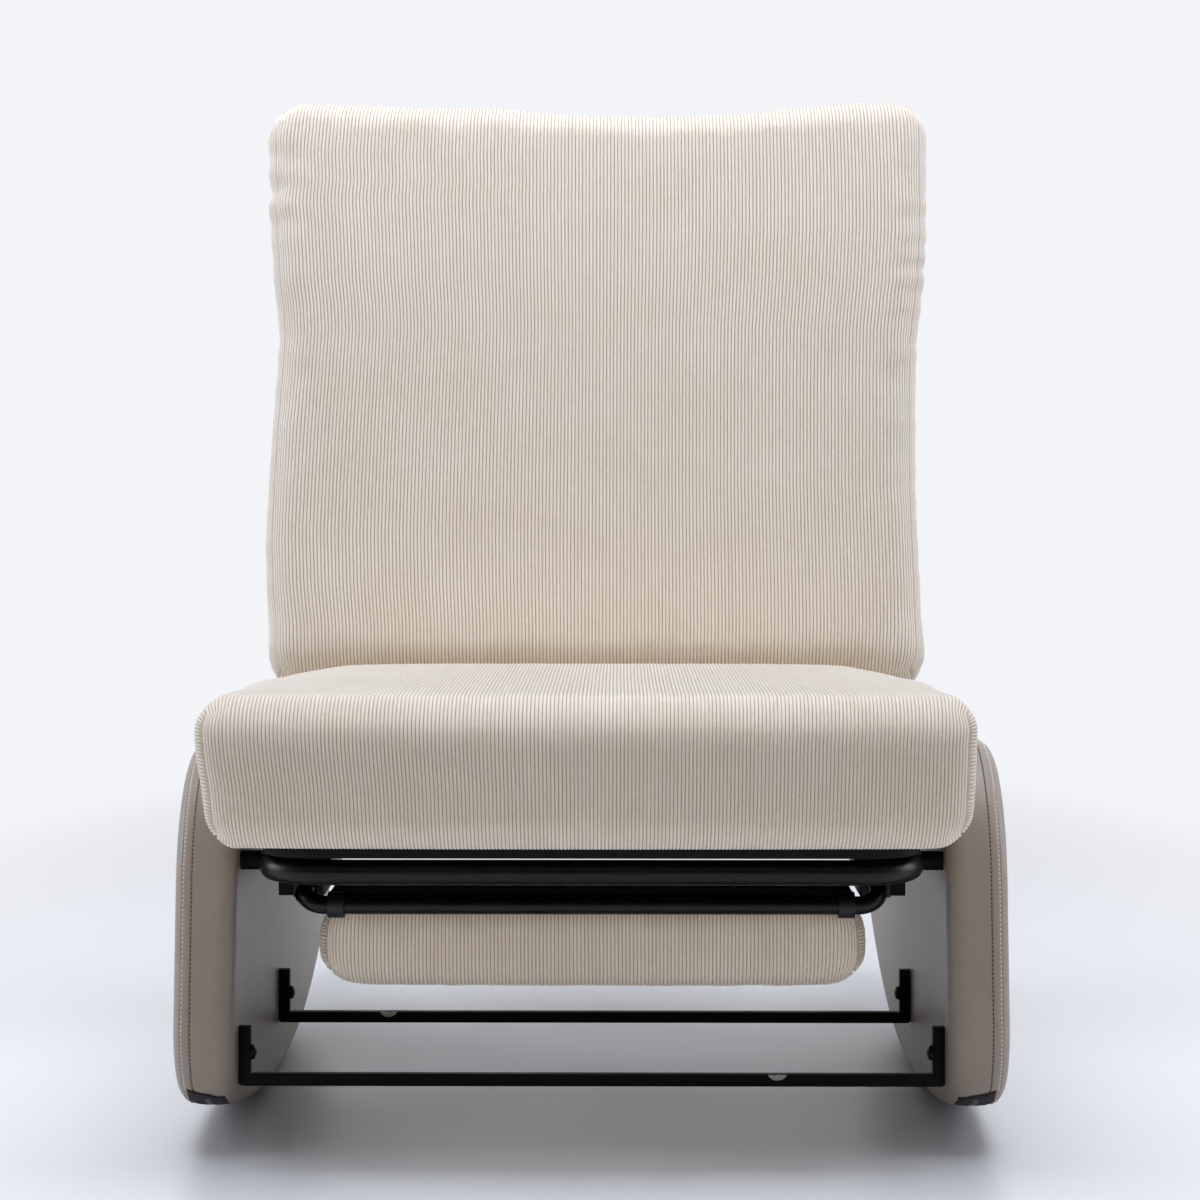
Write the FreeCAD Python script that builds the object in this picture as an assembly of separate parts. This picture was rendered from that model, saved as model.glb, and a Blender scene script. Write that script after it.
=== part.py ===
import FreeCAD, Part
import math
import os

# Reclining lounge chair. Two leather covered side panels stand on their curved lower rims and
# are held apart by two square steel stretchers. A bent steel tube carries the seat between them.
# The back turns on two friction hinges, and a footrest frame runs out of two guide tubes while
# its padded rest turns over the front crossbar. X is across the chair, the sitter looks along -Y.

os.makedirs("parts", exist_ok=True)

Vector = FreeCAD.Vector
ALONG_X = Vector(1, 0, 0)
ALONG_Y = Vector(0, 1, 0)
ALONG_Z = Vector(0, 0, 1)

# Whole chair, in millimetres
overall_depth = 1004.0
seat_overhang = 119.0
fit_gap = 0.3
running_play = 0.05
overrun = 60.0

# Side panels: a plywood board in foam, under a zipped leather cover
panel_thickness = 54.0
panel_height = 350.0
toe_lead = 50.0
front_lean_angle = 6.6
shoulder_setback = 423.0
tail_height = 54.9
floor_flat_setback = 319.0
floor_flat_length = 60.0
front_rocker_radius = 1370.0
rear_rocker_radius = 880.0
toe_radius = 75.0
brow_radius = 130.0
shoulder_radius = 200.0
tail_radius = 26.0
rim_radius = 18.0
rim_steps = 2
cover_thickness = 6.5
board_thickness = 18.0
board_edge_cover = 10.0
saw_step_angle = 15.0
zip_width = 34.0
zip_thickness = 3.0
zip_front_height = 50.0
zip_tail_height = 155.0

# Stretchers: square bar with both ends turned up against the panels
stretcher_bar = 10.5
stretcher_height = 54.0
stretcher_upturn = 52.0
stretcher_spacing = 297.0
stretcher_corner_radius = 3.0
stretcher_bolt_height = 83.0
buffer_radius = 9.5
buffer_depth = 4.8
buffer_thickness = 2.0
front_buffer_place = 163.0
rear_buffer_place = -202.0

# Bolts and threaded inserts
bolt_diameter = 8.0
bolt_head_width = 12.0
bolt_head_height = 4.6
insert_width = 12.0
insert_length = 14.0
hole_clearance = 0.25

# Seat frame: round steel tube
frame_tube = 22.0
cross_bar_depth = 25.0
cross_bar_thickness = 5.0
rail_gap = 30.5
frame_height = 250.0
frame_front_lead = 62.0
frame_corner_radius = 50.0
frame_tail = 18.0
cross_bar_setback = 464.0
spacer_diameter = 17.0
spacer_length = 20.5
front_spacer_setback = 20.0
rear_spacer_setback = 400.0
plug_thickness = 3.0
bend_step_angle = 22.5

# Seat board on rubber pads, and the seat cushion
rest_pad_length = 34.0
rest_pad_width = 16.0
rest_pad_thickness = 3.0
rest_pad_setbacks = (-10.0, 185.0, 380.0)
seat_board_thickness = 9.5
seat_board_inset = 6.5
seat_board_lead = 78.0
seat_board_rear_setback = 440.0
seat_board_corner_radius = 46.0
seat_cushion_overhang = 20.0
seat_cushion_height = 127.0
seat_cushion_rear_setback = 440.0
seat_corner_radius = 46.0
seat_edge_radius = 62.0
bow_runs = 3
corner_runs = 3
seat_swell_shares = (0.018, 0.009, -0.012)
press_room = 2.0

# Footrest: frame of thinner tube in nylon guide blocks, and the padded rest on the crossbar
guide_block_width = 26.0
guide_block_height = 24.0
guide_front_setback = 20.0
hanger_thickness = 5.0
hanger_inset = 12.0
footrest_tube = 16.0
footrest_width = 518.0
footrest_rail_height = 229.0
crossbar_height = 216.0
crossbar_lead = 20.0
dip_angle = 30.0
dip_bend_radius = 20.0
footrest_corner_radius = 20.0
footrest_rear_setback = 445.0
footrest_travel = 300.0
stop_gap = 0.5
stop_width = 19.0
stop_thickness = 4.0
pad_side_gap = 22.0
pad_depth = 148.0
pad_height = 74.0
pad_corner_radius = 26.0
pad_edge_radius = 28.0
pad_swell_shares = (0.0095, 0.0095, -0.02)
pad_setback = 9.0
footrest_board_thickness = 9.0
footrest_board_inset = 9.0
lining_thickness = 1.0
hinge_block_inset = 15.0
hinge_block_width = 14.0
hinge_block_size = 22.0
hinge_tongue_length = 34.0
hinge_tongue_thickness = 6.0

# Back: inverted tube frame on friction hinges, sling and cushion
hinge_setback = 504.0
back_lean_angle = 15.2
hinge_plate_thickness = 6.5
hinge_plate_radius = 21.0
hinge_plate_reach = 26.0
hinge_arm_radius = 17.0
hinge_arm_length = 110.0
hinge_play = 0.1
pivot_diameter = 10.0
pivot_head_width = 16.0
pivot_head_height = 5.0
nut_width = 16.0
nut_thickness = 7.0
back_leg_heel = 17.0
back_frame_top = 640.0
back_frame_corner_radius = 60.0
back_cross_bar_rise = 120.0
sling_thickness = 2.5
sling_bottom_rise = 145.0
sling_top_rise = 575.0
back_cushion_thickness = 135.0
back_cushion_bottom_rise = 99.0
back_cushion_top_rise = 742.0
back_cushion_bottom_width = 672.0
back_cushion_top_width = 712.0
back_bottom_corner_radius = 34.0
back_top_corner_radius = 48.0
back_edge_radius = 58.0
back_swell_shares = (0.0085, -0.0165, -0.009)

# Widths that follow from the footrest's, which everything beside it keeps clear of
frame_width = footrest_width + 2 * rail_gap
panel_gap = frame_width + 2 * spacer_length
seat_board_width = frame_width - 2 * seat_board_inset
seat_cushion_width = panel_gap + 2 * seat_cushion_overhang
pad_width = footrest_width - 2 * pad_side_gap
hinge_block_place = pad_width / 2 - hinge_block_inset

# Places that follow from the sizes above
front_bar_y = -overall_depth / 2 + seat_overhang
panel_inner_x = panel_gap / 2
panel_middle_x = panel_inner_x + panel_thickness / 2
tail_y = overall_depth / 2
toe_line_y = front_bar_y - toe_lead
shoulder_y = front_bar_y + shoulder_setback
flat_front_y = front_bar_y + floor_flat_setback
flat_rear_y = flat_front_y + floor_flat_length
tail_foot_z = rear_rocker_radius - math.sqrt(rear_rocker_radius ** 2 - (tail_y - flat_rear_y) ** 2)
top_fall = math.atan((panel_height - tail_foot_z - tail_height) / (tail_y - shoulder_y))
board_side_cover = (panel_thickness - board_thickness) / 2
rail_x = (frame_width - frame_tube) / 2
front_tube_y = front_bar_y - frame_front_lead
hinge_y = front_bar_y + hinge_setback
hinge_z = frame_height
rail_end_y = hinge_y + frame_tail
cross_bar_y = front_bar_y + cross_bar_setback
spacer_ys = (front_bar_y + front_spacer_setback, front_bar_y + rear_spacer_setback)
frame_top_z = frame_height + frame_tube / 2
seat_board_z = frame_top_z + rest_pad_thickness
seat_cushion_z = seat_board_z + seat_board_thickness + fit_gap
footrest_rail_x = (footrest_width - footrest_tube) / 2
crossbar_y = front_bar_y - crossbar_lead
footrest_rear_y = front_bar_y + footrest_rear_setback
guide_front_y = front_bar_y + guide_front_setback
guide_rear_y = footrest_rear_y - footrest_travel - stop_gap
slide_bore = footrest_tube + 2 * running_play
pad_front_y = crossbar_y + pad_setback
footrest_board_z = crossbar_height + hinge_block_size / 2 - footrest_board_thickness
back_leg_x = rail_x - frame_tube - hinge_plate_thickness * 2 - hinge_play
back_cushion_rear = frame_tube / 2 + sling_thickness + fit_gap
bow_peak_share = 4 * (bow_runs // 2) * (bow_runs - bow_runs // 2) / bow_runs ** 2


def save(node, solids):
    """Write one node: a single solid, or a group of separate alike solids."""
    shape = solids if isinstance(solids, Part.Shape) else Part.makeCompound(solids)
    shape.exportStep("parts/" + node + ".step")


def rod(start, direction, diameter, length):
    return Part.makeCylinder(diameter / 2, length, start, direction)


def block(low, high):
    """Box between two opposite corners."""
    size = high - low
    return Part.makeBox(size.x, size.y, size.z, low)


def aimed(shape, place, direction):
    """Move a shape built along +Z at zero to a place and a direction."""
    shape.Placement = FreeCAD.Placement(place, FreeCAD.Rotation(ALONG_Z, direction))
    return shape


def hexagon(width, depth, base_z):
    """Six sided prism along +Z, given across its flats."""
    corner = width / math.sqrt(3)
    turns = [math.radians(60 * step) for step in range(7)]
    ring_points = [Vector(corner * math.cos(turn), corner * math.sin(turn), base_z) for turn in turns]
    return Part.Face(Part.makePolygon(ring_points)).extrude(ALONG_Z * depth)


def passage(place, width, length):
    """Six sided clearance for a bolt along X, cutting both ways from the place."""
    return aimed(hexagon(width, 2 * length, -length), place, ALONG_X)


def bolt(diameter, length, head_width, head_height):
    """Six sided head below zero and a plain shank up +Z."""
    return hexagon(head_width, head_height, -head_height).fuse(rod(Vector(), ALONG_Z, diameter, length))


def tube_section(place, direction, steady, diameter):
    """Round section square to the direction, its seam kept on the steady side of the tube."""
    side = (steady - direction * steady.dot(direction)).normalize()
    section = Part.Wire(Part.makeCircle(diameter / 2))
    section.Placement = FreeCAD.Placement(place, FreeCAD.Rotation(side, direction.cross(side), direction, "ZXY"))
    return section


def bent_tube(points, radii, steady, diameter):
    """Round tube along straight runs through the points, bent at each corner in even small steps.
    Its ends are closed, so it is solid inside."""
    run = (points[1] - points[0]).normalize()
    sections = [tube_section(points[0], run, steady, diameter)]
    for corner, after, radius in zip(points[1:-1], points[2:], radii):
        next_run = (after - corner).normalize()
        turn = math.degrees(run.getAngle(next_run))
        reach = radius * math.tan(math.radians(turn / 2))
        enter = corner - run * reach
        axis = run.cross(next_run).normalize()
        centre = enter + axis.cross(run) * radius
        steps = max(1, round(turn / bend_step_angle))
        for step in range(steps + 1):
            swing = FreeCAD.Rotation(axis, turn * step / steps)
            place = centre + swing.multVec(enter - centre)
            sections.append(tube_section(place, swing.multVec(run), steady, diameter))
        run = next_run
    sections.append(tube_section(points[-1], run, steady, diameter))
    return Part.makeLoft(sections, True, True)


# Panel outline. Each side is a point and a direction in the YZ plane, taken clockwise as seen
# from +X, and an inset moves every side and arc inwards together.

def moved_side(place, direction, inset):
    inward = Vector(0, direction.z, -direction.y)
    return place + inward * inset, direction, inward


def side_corner(first, second, radius):
    """Tangent arc between two straight sides: its start, middle and end."""
    place, run, inward = first
    other_place, other_run, _ = second
    gap = other_place - place
    across = run.y * other_run.z - run.z * other_run.y
    step = (gap.y * other_run.z - gap.z * other_run.y) / across
    corner = place + run * step
    reach = radius * math.tan(run.getAngle(other_run) / 2)
    start = corner - run * reach
    centre = start + inward * radius
    middle = centre + (corner - centre).normalize() * radius
    return start, middle, corner + other_run * reach


def rocker_corner(side, rocker_centre, rocker_radius, radius):
    """Tangent arc between a straight side and a rocker arc: on the side, middle, on the rocker."""
    place, run, inward = side
    track = place + inward * radius
    gap = track - rocker_centre
    along = gap.dot(run)
    reach = math.sqrt(along ** 2 - gap.dot(gap) + (rocker_radius - radius) ** 2)
    lower_step = min(-along - reach, -along + reach, key=lambda step: (track + run * step).z)
    centre = track + run * lower_step
    to_rocker = (centre - rocker_centre).normalize()
    to_middle = (to_rocker - inward).normalize()
    return centre - inward * radius, centre + to_middle * radius, rocker_centre + to_rocker * rocker_radius


def rocker_middle(first, second, centre, radius):
    """Middle point of a rocker arc between two of its points."""
    return centre + ((first + second) * 0.5 - centre).normalize() * radius


def panel_sides(inset):
    """Lines and arcs round the panel, clockwise from the toe as seen from +X."""
    lean = math.radians(front_lean_angle)
    front = moved_side(Vector(0, toe_line_y, 0), Vector(0, math.sin(lean), math.cos(lean)), inset)
    top = moved_side(Vector(0, shoulder_y, panel_height), ALONG_Y, inset)
    slope = moved_side(Vector(0, shoulder_y, panel_height), Vector(0, math.cos(top_fall), -math.sin(top_fall)), inset)
    tail = moved_side(Vector(0, tail_y, panel_height), ALONG_Z * -1, inset)
    front_centre = Vector(0, flat_front_y, front_rocker_radius)
    rear_centre = Vector(0, flat_rear_y, rear_rocker_radius)
    front_radius = front_rocker_radius - inset
    rear_radius = rear_rocker_radius - inset
    toe = rocker_corner(front, front_centre, front_radius, toe_radius - inset)
    brow = side_corner(front, top, brow_radius - inset)
    shoulder = side_corner(top, slope, shoulder_radius - inset)
    tail_top = side_corner(slope, tail, tail_radius - inset)
    tail_foot = rocker_corner(tail, rear_centre, rear_radius, tail_radius - inset)
    flat_front = Vector(0, flat_front_y, inset)
    flat_rear = Vector(0, flat_rear_y, inset)
    rear_middle = rocker_middle(tail_foot[2], flat_rear, rear_centre, rear_radius)
    front_middle = rocker_middle(flat_front, toe[2], front_centre, front_radius)
    edges = [Part.Arc(toe[2], toe[1], toe[0]), Part.LineSegment(toe[0], brow[0]),
             Part.Arc(*brow), Part.LineSegment(brow[2], shoulder[0]),
             Part.Arc(*shoulder), Part.LineSegment(shoulder[2], tail_top[0]),
             Part.Arc(*tail_top), Part.LineSegment(tail_top[2], tail_foot[0]),
             Part.Arc(*tail_foot), Part.Arc(tail_foot[2], rear_middle, flat_rear),
             Part.LineSegment(flat_rear, flat_front), Part.Arc(flat_front, front_middle, toe[2])]
    return [edge.toShape() for edge in edges]


def panel_outline(inset):
    return Part.Wire(panel_sides(inset))


def sawn_outline(inset):
    """The same outline in short straight cuts, for what lies hidden in or under the cover."""
    points = []
    for edge in panel_sides(inset):
        turn = edge.Length / edge.Curve.Radius if hasattr(edge.Curve, "Radius") else 0
        cuts = max(1, math.ceil(math.degrees(turn) / saw_step_angle))
        points += edge.discretize(cuts + 1)[:-1]
    return Part.makePolygon(points + points[:1])


def panel_block(side, outline, side_inset):
    """Square edged panel inside an outline, drawn in by the side inset at its faces."""
    face = Part.Face(outline)
    face.translate(ALONG_X * side * (panel_inner_x + side_inset))
    return face.extrude(ALONG_X * side * (panel_thickness - 2 * side_inset))


def panel_form(side, grow):
    """Panel with its rolled rim, lofted through outlines round the rim and grown all over."""
    radius = rim_radius + grow
    middle_x = side * panel_middle_x
    half = panel_thickness / 2 + grow
    turns = [math.radians(90 * step / rim_steps) for step in range(rim_steps + 1)]
    offsets = [(half - radius * (1 - math.cos(turn)), radius * (1 - math.sin(turn)) - grow) for turn in turns]
    near = [(-offset, inset) for offset, inset in offsets]
    outlines = []
    for offset, inset in near + offsets[::-1]:
        outline = panel_outline(inset)
        outline.translate(ALONG_X * (middle_x + offset))
        outlines.append(outline)
    return Part.makeLoft(outlines, True, True)


def zip_band(form, side, width, depth):
    """Strip of the panel's skin along the underside, from the toe to the tail."""
    low_x = side * panel_middle_x - width / 2
    corners = [(toe_line_y - overrun, -overrun), (toe_line_y - overrun, zip_front_height),
               (tail_y + overrun, zip_tail_height), (tail_y + overrun, -overrun)]
    points = [Vector(low_x, y, z) for y, z in corners]
    slab = Part.Face(Part.makePolygon(points + points[:1])).extrude(ALONG_X * width)
    return form.common(slab).cut(panel_block(side, panel_outline(depth), -overrun))


def panel_bolt_places():
    """Height and depth of the four bolts that enter each panel."""
    stretchers = [(front_bar_y + stretcher_bar / 2, stretcher_bolt_height),
                  (front_bar_y + stretcher_spacing + stretcher_bar / 2, stretcher_bolt_height)]
    return stretchers + [(y, frame_height) for y in spacer_ys]


def panel_holes(side, width, start_inset, length):
    """Six sided sockets into the panel from its inner face, one at each bolt."""
    start_x = side * (panel_inner_x + start_inset)
    return [aimed(hexagon(width, length, 0), Vector(start_x, y, z), ALONG_X * side)
            for y, z in panel_bolt_places()]


def build_panel(side, name):
    outer = panel_form(side, 0)
    inside = panel_block(side, sawn_outline(cover_thickness), cover_thickness)
    foam = panel_block(side, sawn_outline(cover_thickness + fit_gap), cover_thickness + fit_gap)
    board = panel_block(side, sawn_outline(board_edge_cover), board_side_cover)
    cavity = panel_block(side, sawn_outline(board_edge_cover - fit_gap), board_side_cover - fit_gap)
    zip_strip = zip_band(outer, side, zip_width, zip_thickness)
    zip_room = zip_band(outer, side, zip_width + 2 * fit_gap, zip_thickness + fit_gap)
    bolt_holes = panel_holes(side, insert_width, -overrun, overrun + board_side_cover)
    insert_holes = panel_holes(side, insert_width, board_side_cover - fit_gap, insert_length + fit_gap)
    save(name + "_panel_cover", outer.cut([inside, zip_room] + bolt_holes))
    save(name + "_panel_foam", foam.cut([cavity] + bolt_holes))
    save(name + "_panel_board", board.cut(insert_holes))
    save(name + "_zip_strip", zip_strip)


def build_inserts():
    inserts = []
    for side in (-1, 1):
        start_x = side * (panel_inner_x + board_side_cover)
        for y, z in panel_bolt_places():
            barrel = hexagon(insert_width, insert_length, 0)
            bore = rod(ALONG_Z * -overrun, ALONG_Z, bolt_diameter + 2 * running_play, 2 * overrun)
            inserts.append(aimed(barrel.cut(bore), Vector(start_x, y, z), ALONG_X * side))
    save("threaded_inserts", inserts)


def build_stretcher(name, front_y):
    bar_top = stretcher_height + stretcher_bar
    outer = block(Vector(-panel_inner_x, front_y, stretcher_height),
                  Vector(panel_inner_x, front_y + stretcher_bar, stretcher_height + stretcher_upturn))
    inner_x = panel_inner_x - stretcher_bar
    inside = block(Vector(-inner_x, front_y - overrun, bar_top),
                   Vector(inner_x, front_y + stretcher_bar + overrun, bar_top + stretcher_upturn))
    bent = outer.cut(inside)
    corners = [edge for edge in bent.Edges
               if edge.BoundBox.XLength < fit_gap and edge.BoundBox.ZLength < fit_gap
               and edge.BoundBox.ZMin < bar_top - stretcher_bar / 2]
    bent = bent.makeFillet(stretcher_corner_radius, corners)
    hole = passage(Vector(0, front_y + stretcher_bar / 2, stretcher_bolt_height),
                   bolt_diameter + 2 * hole_clearance, panel_gap)
    save(name, bent.cut(hole))


def panel_bolt(length):
    return bolt(bolt_diameter, length, bolt_head_width, bolt_head_height)


def build_stretcher_bolts():
    length = stretcher_bar + board_side_cover + insert_length
    bolts = []
    for side in (-1, 1):
        for y, z in panel_bolt_places()[:2]:
            place = Vector(side * (panel_inner_x - stretcher_bar), y, z)
            bolts.append(aimed(panel_bolt(length), place, ALONG_X * side))
    save("stretcher_bolts", bolts)


def build_buffers():
    """Clear half round pads stuck on the front of each stretcher bar, flush with its top."""
    buffers = []
    bar_top = stretcher_height + stretcher_bar
    for x, y in ((front_buffer_place, front_bar_y), (rear_buffer_place, front_bar_y + stretcher_spacing)):
        disc = rod(Vector(x, y - buffer_thickness, bar_top + buffer_radius - buffer_depth), ALONG_Y,
                   2 * buffer_radius, buffer_thickness)
        above = block(Vector(x - overrun, y - overrun, bar_top), Vector(x + overrun, y + overrun, bar_top + overrun))
        buffers.append(disc.cut(above))
    save("stretcher_buffers", buffers)


def build_seat_frame():
    points = [Vector(rail_x, rail_end_y, frame_height), Vector(rail_x, front_tube_y, frame_height),
              Vector(-rail_x, front_tube_y, frame_height), Vector(-rail_x, rail_end_y, frame_height)]
    bent = bent_tube(points, (frame_corner_radius, frame_corner_radius), ALONG_Z, frame_tube)
    cross_bar = block(Vector(-rail_x, cross_bar_y - cross_bar_depth / 2, frame_height - cross_bar_thickness / 2),
                      Vector(rail_x, cross_bar_y + cross_bar_depth / 2, frame_height + cross_bar_thickness / 2))
    holes = [passage(Vector(0, y, frame_height), bolt_diameter + 2 * hole_clearance, panel_gap)
             for y in spacer_ys]
    holes.append(passage(Vector(0, hinge_y, hinge_z), pivot_diameter + 2 * hole_clearance, panel_gap))
    save("seat_frame", bent.fuse(cross_bar).cut(holes))


def build_frame_fixings():
    """Spacers, bolts and end plugs of the seat frame."""
    spacers = []
    bolts = []
    plugs = []
    spacer_start_x = rail_x + frame_tube / 2
    bolt_start_x = rail_x - frame_tube / 2
    bolt_length = panel_inner_x + board_side_cover + insert_length - bolt_start_x
    for side in (-1, 1):
        for y in spacer_ys:
            spacer = rod(Vector(), ALONG_Z, spacer_diameter, panel_inner_x - spacer_start_x)
            broached = spacer.cut(hexagon(bolt_diameter + 2 * hole_clearance, 2 * overrun, -overrun))
            spacers.append(aimed(broached, Vector(side * spacer_start_x, y, frame_height), ALONG_X * side))
            bolts.append(aimed(panel_bolt(bolt_length), Vector(side * bolt_start_x, y, frame_height),
                               ALONG_X * side))
        plugs.append(rod(Vector(side * rail_x, rail_end_y, frame_height), ALONG_Y, frame_tube, plug_thickness))
    save("seat_frame_spacers", spacers)
    save("seat_frame_bolts", bolts)
    save("rail_end_plugs", plugs)


def build_seat_board():
    """Board that carries the cushion, on rubber pads along the rails."""
    half_width = seat_board_width / 2
    low = Vector(-half_width, front_bar_y - seat_board_lead, seat_board_z)
    high = Vector(half_width, front_bar_y + seat_board_rear_setback, seat_board_z + seat_board_thickness)
    board = block(low, high)
    uprights = [edge for edge in board.Edges if edge.BoundBox.ZLength > fit_gap and edge.BoundBox.YMin < front_bar_y]
    save("seat_board", board.makeFillet(seat_board_corner_radius, uprights))
    pads = []
    for side in (-1, 1):
        for setback in rest_pad_setbacks:
            middle = Vector(side * rail_x, front_bar_y + setback, frame_top_z)
            half_size = Vector(rest_pad_width / 2, rest_pad_length / 2, 0)
            pads.append(block(middle - half_size, middle + half_size + ALONG_Z * rest_pad_thickness))
    save("seat_rest_pads", pads)


# Cushions are lofted through outlines of four slightly bowed sides and four round corners, all
# in short straight runs. The table of each cushion gives the height of every outline as a share of the
# thickness, and how far each side is drawn in as a share of the edge radius.

def corner_points(start, end, centre):
    """Points round a corner, from the end of one side up to the start of the next."""
    angle = (start - centre).getAngle(end - centre)
    axis = (start - centre).cross(end - centre)
    turns = [FreeCAD.Rotation(axis, math.degrees(angle) * run / corner_runs) for run in range(corner_runs)]
    return [centre + turn.multVec(start - centre) for turn in turns]


def bowed_points(start, end, outward, swell_share):
    """Points along a shallow bow, swelling outwards by a share of its length, or inwards if negative."""
    swell = (end - start).Length * swell_share
    shares = [run / bow_runs for run in range(bow_runs)]
    return [start + (end - start) * share + outward * (swell * 4 * share * (1 - share)) for share in shares]


def cushion_outline(front_half, rear_half, front, rear, corners, swell_shares):
    """Outline in the XY plane at zero height. Halves are the half widths at its front and rear."""
    front_corner, rear_corner = corners
    front_swell, rear_swell, side_swell = swell_shares
    left_front = Vector(-front_half, front + front_corner, 0)
    left_rear = Vector(-rear_half, rear - rear_corner, 0)
    rear_left = Vector(-rear_half + rear_corner, rear, 0)
    front_left = Vector(-front_half + front_corner, front, 0)
    right_front, right_rear, rear_right, front_right = [
        Vector(-point.x, point.y, 0) for point in (left_front, left_rear, rear_left, front_left)]
    front_centre = Vector(front_half - front_corner, front + front_corner, 0)
    rear_centre = Vector(rear_half - rear_corner, rear - rear_corner, 0)
    left_front_centre = Vector(-front_centre.x, front_centre.y, 0)
    left_rear_centre = Vector(-rear_centre.x, rear_centre.y, 0)
    points = (bowed_points(front_left, front_right, ALONG_Y * -1, front_swell)
              + corner_points(front_right, right_front, front_centre)
              + bowed_points(right_front, right_rear, ALONG_X, side_swell)
              + corner_points(right_rear, rear_right, rear_centre)
              + bowed_points(rear_right, rear_left, ALONG_Y, rear_swell)
              + corner_points(rear_left, left_rear, left_rear_centre)
              + bowed_points(left_rear, left_front, ALONG_X * -1, side_swell)
              + corner_points(left_front, front_left, left_front_centre))
    return Part.makePolygon(points + points[:1])


def lofted(outlines):
    return Part.makeLoft(outlines, True, True)


# Height, then side, front and rear draw of each outline of the seat cushion, bottom to crown
seat_level_shares = ((0.0, 0.52, 0.5, 0.3), (0.1, 0.2, 0.2, 0.1), (0.5, 0.03, 0.0, 0.05),
                     (0.7, 0.0, 0.02, 0.4), (0.88, 0.07, 0.2, 0.74), (0.97, 0.5, 0.85, 1.2),
                     (1.0, 2.0, 2.4, 2.4))


def seat_cushion_form():
    half_width = seat_cushion_width / 2
    front_swell = bow_peak_share * seat_swell_shares[0] * (seat_cushion_width - 2 * seat_corner_radius)
    front = -overall_depth / 2 + front_swell
    rear = front_bar_y + seat_cushion_rear_setback
    outlines = []
    for height_share, side_share, front_share, rear_share in seat_level_shares:
        half = half_width - side_share * seat_edge_radius
        outline = cushion_outline(half, half, front + front_share * seat_edge_radius,
                                  rear - rear_share * seat_edge_radius,
                                  (seat_corner_radius, seat_corner_radius),
                                  seat_swell_shares)
        outline.translate(ALONG_Z * (seat_cushion_z + height_share * seat_cushion_height))
        outlines.append(outline)
    return lofted(outlines)


def build_seat_cushion():
    """The cushion swells over the panels, which press their own shape into it."""
    cushion = seat_cushion_form()
    presses = [panel_block(side, sawn_outline(-press_room), -fit_gap) for side in (-1, 1)]
    save("seat_cushion", cushion.cut(presses))


def build_guides():
    """Nylon guide blocks that the footrest tubes slide in, and the gussets that hang them on the rails."""
    blocks = []
    hangers = []
    half_width = guide_block_width / 2
    half_height = guide_block_height / 2
    for side in (-1, 1):
        low = Vector(side * footrest_rail_x - half_width, guide_front_y, footrest_rail_height - half_height)
        high = Vector(side * footrest_rail_x + half_width, guide_rear_y, footrest_rail_height + half_height)
        bore = rod(Vector(side * footrest_rail_x, guide_front_y - overrun, footrest_rail_height), ALONG_Y,
                   slide_bore, guide_rear_y - guide_front_y + 2 * overrun)
        blocks.append(block(low, high).cut(bore))
        rail = rod(Vector(side * rail_x, front_bar_y, frame_height), ALONG_Y, frame_tube, guide_rear_y - front_bar_y)
        near_x, far_x = sorted((side * (footrest_rail_x + half_width), side * rail_x))
        for y in (guide_front_y + hanger_inset, guide_rear_y - hanger_inset - hanger_thickness):
            gusset = block(Vector(near_x, y, footrest_rail_height - half_height),
                           Vector(far_x, y + hanger_thickness, frame_height))
            hangers.append(gusset.cut(rail))
    save("guide_blocks", blocks)
    save("guide_hangers", hangers)


def build_footrest_frame():
    dip_run = (footrest_rail_height - crossbar_height) / math.tan(math.radians(dip_angle))
    right = [Vector(footrest_rail_x, footrest_rear_y, footrest_rail_height),
             Vector(footrest_rail_x, crossbar_y + dip_run, footrest_rail_height),
             Vector(footrest_rail_x, crossbar_y, crossbar_height)]
    left = [Vector(-point.x, point.y, point.z) for point in reversed(right)]
    radii = (dip_bend_radius, footrest_corner_radius, footrest_corner_radius, dip_bend_radius)
    save("footrest_frame", bent_tube(right + left, radii, ALONG_Z, footrest_tube))
    stops = []
    half_stop = Vector(stop_width / 2, 0, stop_width / 2)
    for side in (-1, 1):
        end = Vector(side * footrest_rail_x, footrest_rear_y, footrest_rail_height)
        stops.append(block(end - half_stop, end + half_stop + ALONG_Y * stop_thickness))
    save("footrest_stops", stops)


# Height, then side, front and rear draw of each outline of the footrest cushion, bottom to top
pad_level_shares = ((0.0, 1.1, 1.0, 1.5), (0.06, 0.5, 0.45, 0.9), (0.2, 0.18, 0.1, 0.42),
                    (0.5, 0.0, 0.0, 0.06), (0.82, 0.05, 0.03, 0.0), (1.0, 0.2, 0.2, 0.15))


def hinge_block(side, gap):
    """Nylon block that turns on the crossbar, with a flat tongue under the footrest board."""
    low_x = side * hinge_block_place - hinge_block_width / 2 - gap
    high_x = low_x + hinge_block_width + 2 * gap
    half = hinge_block_size / 2 + gap
    head = block(Vector(low_x, crossbar_y - half, crossbar_height - half),
                 Vector(high_x, crossbar_y + half, crossbar_height + half))
    tongue = block(Vector(low_x, crossbar_y, footrest_board_z - hinge_tongue_thickness - gap),
                   Vector(high_x, crossbar_y + half + hinge_tongue_length, footrest_board_z))
    return head.fuse(tongue).removeSplitter()


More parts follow.
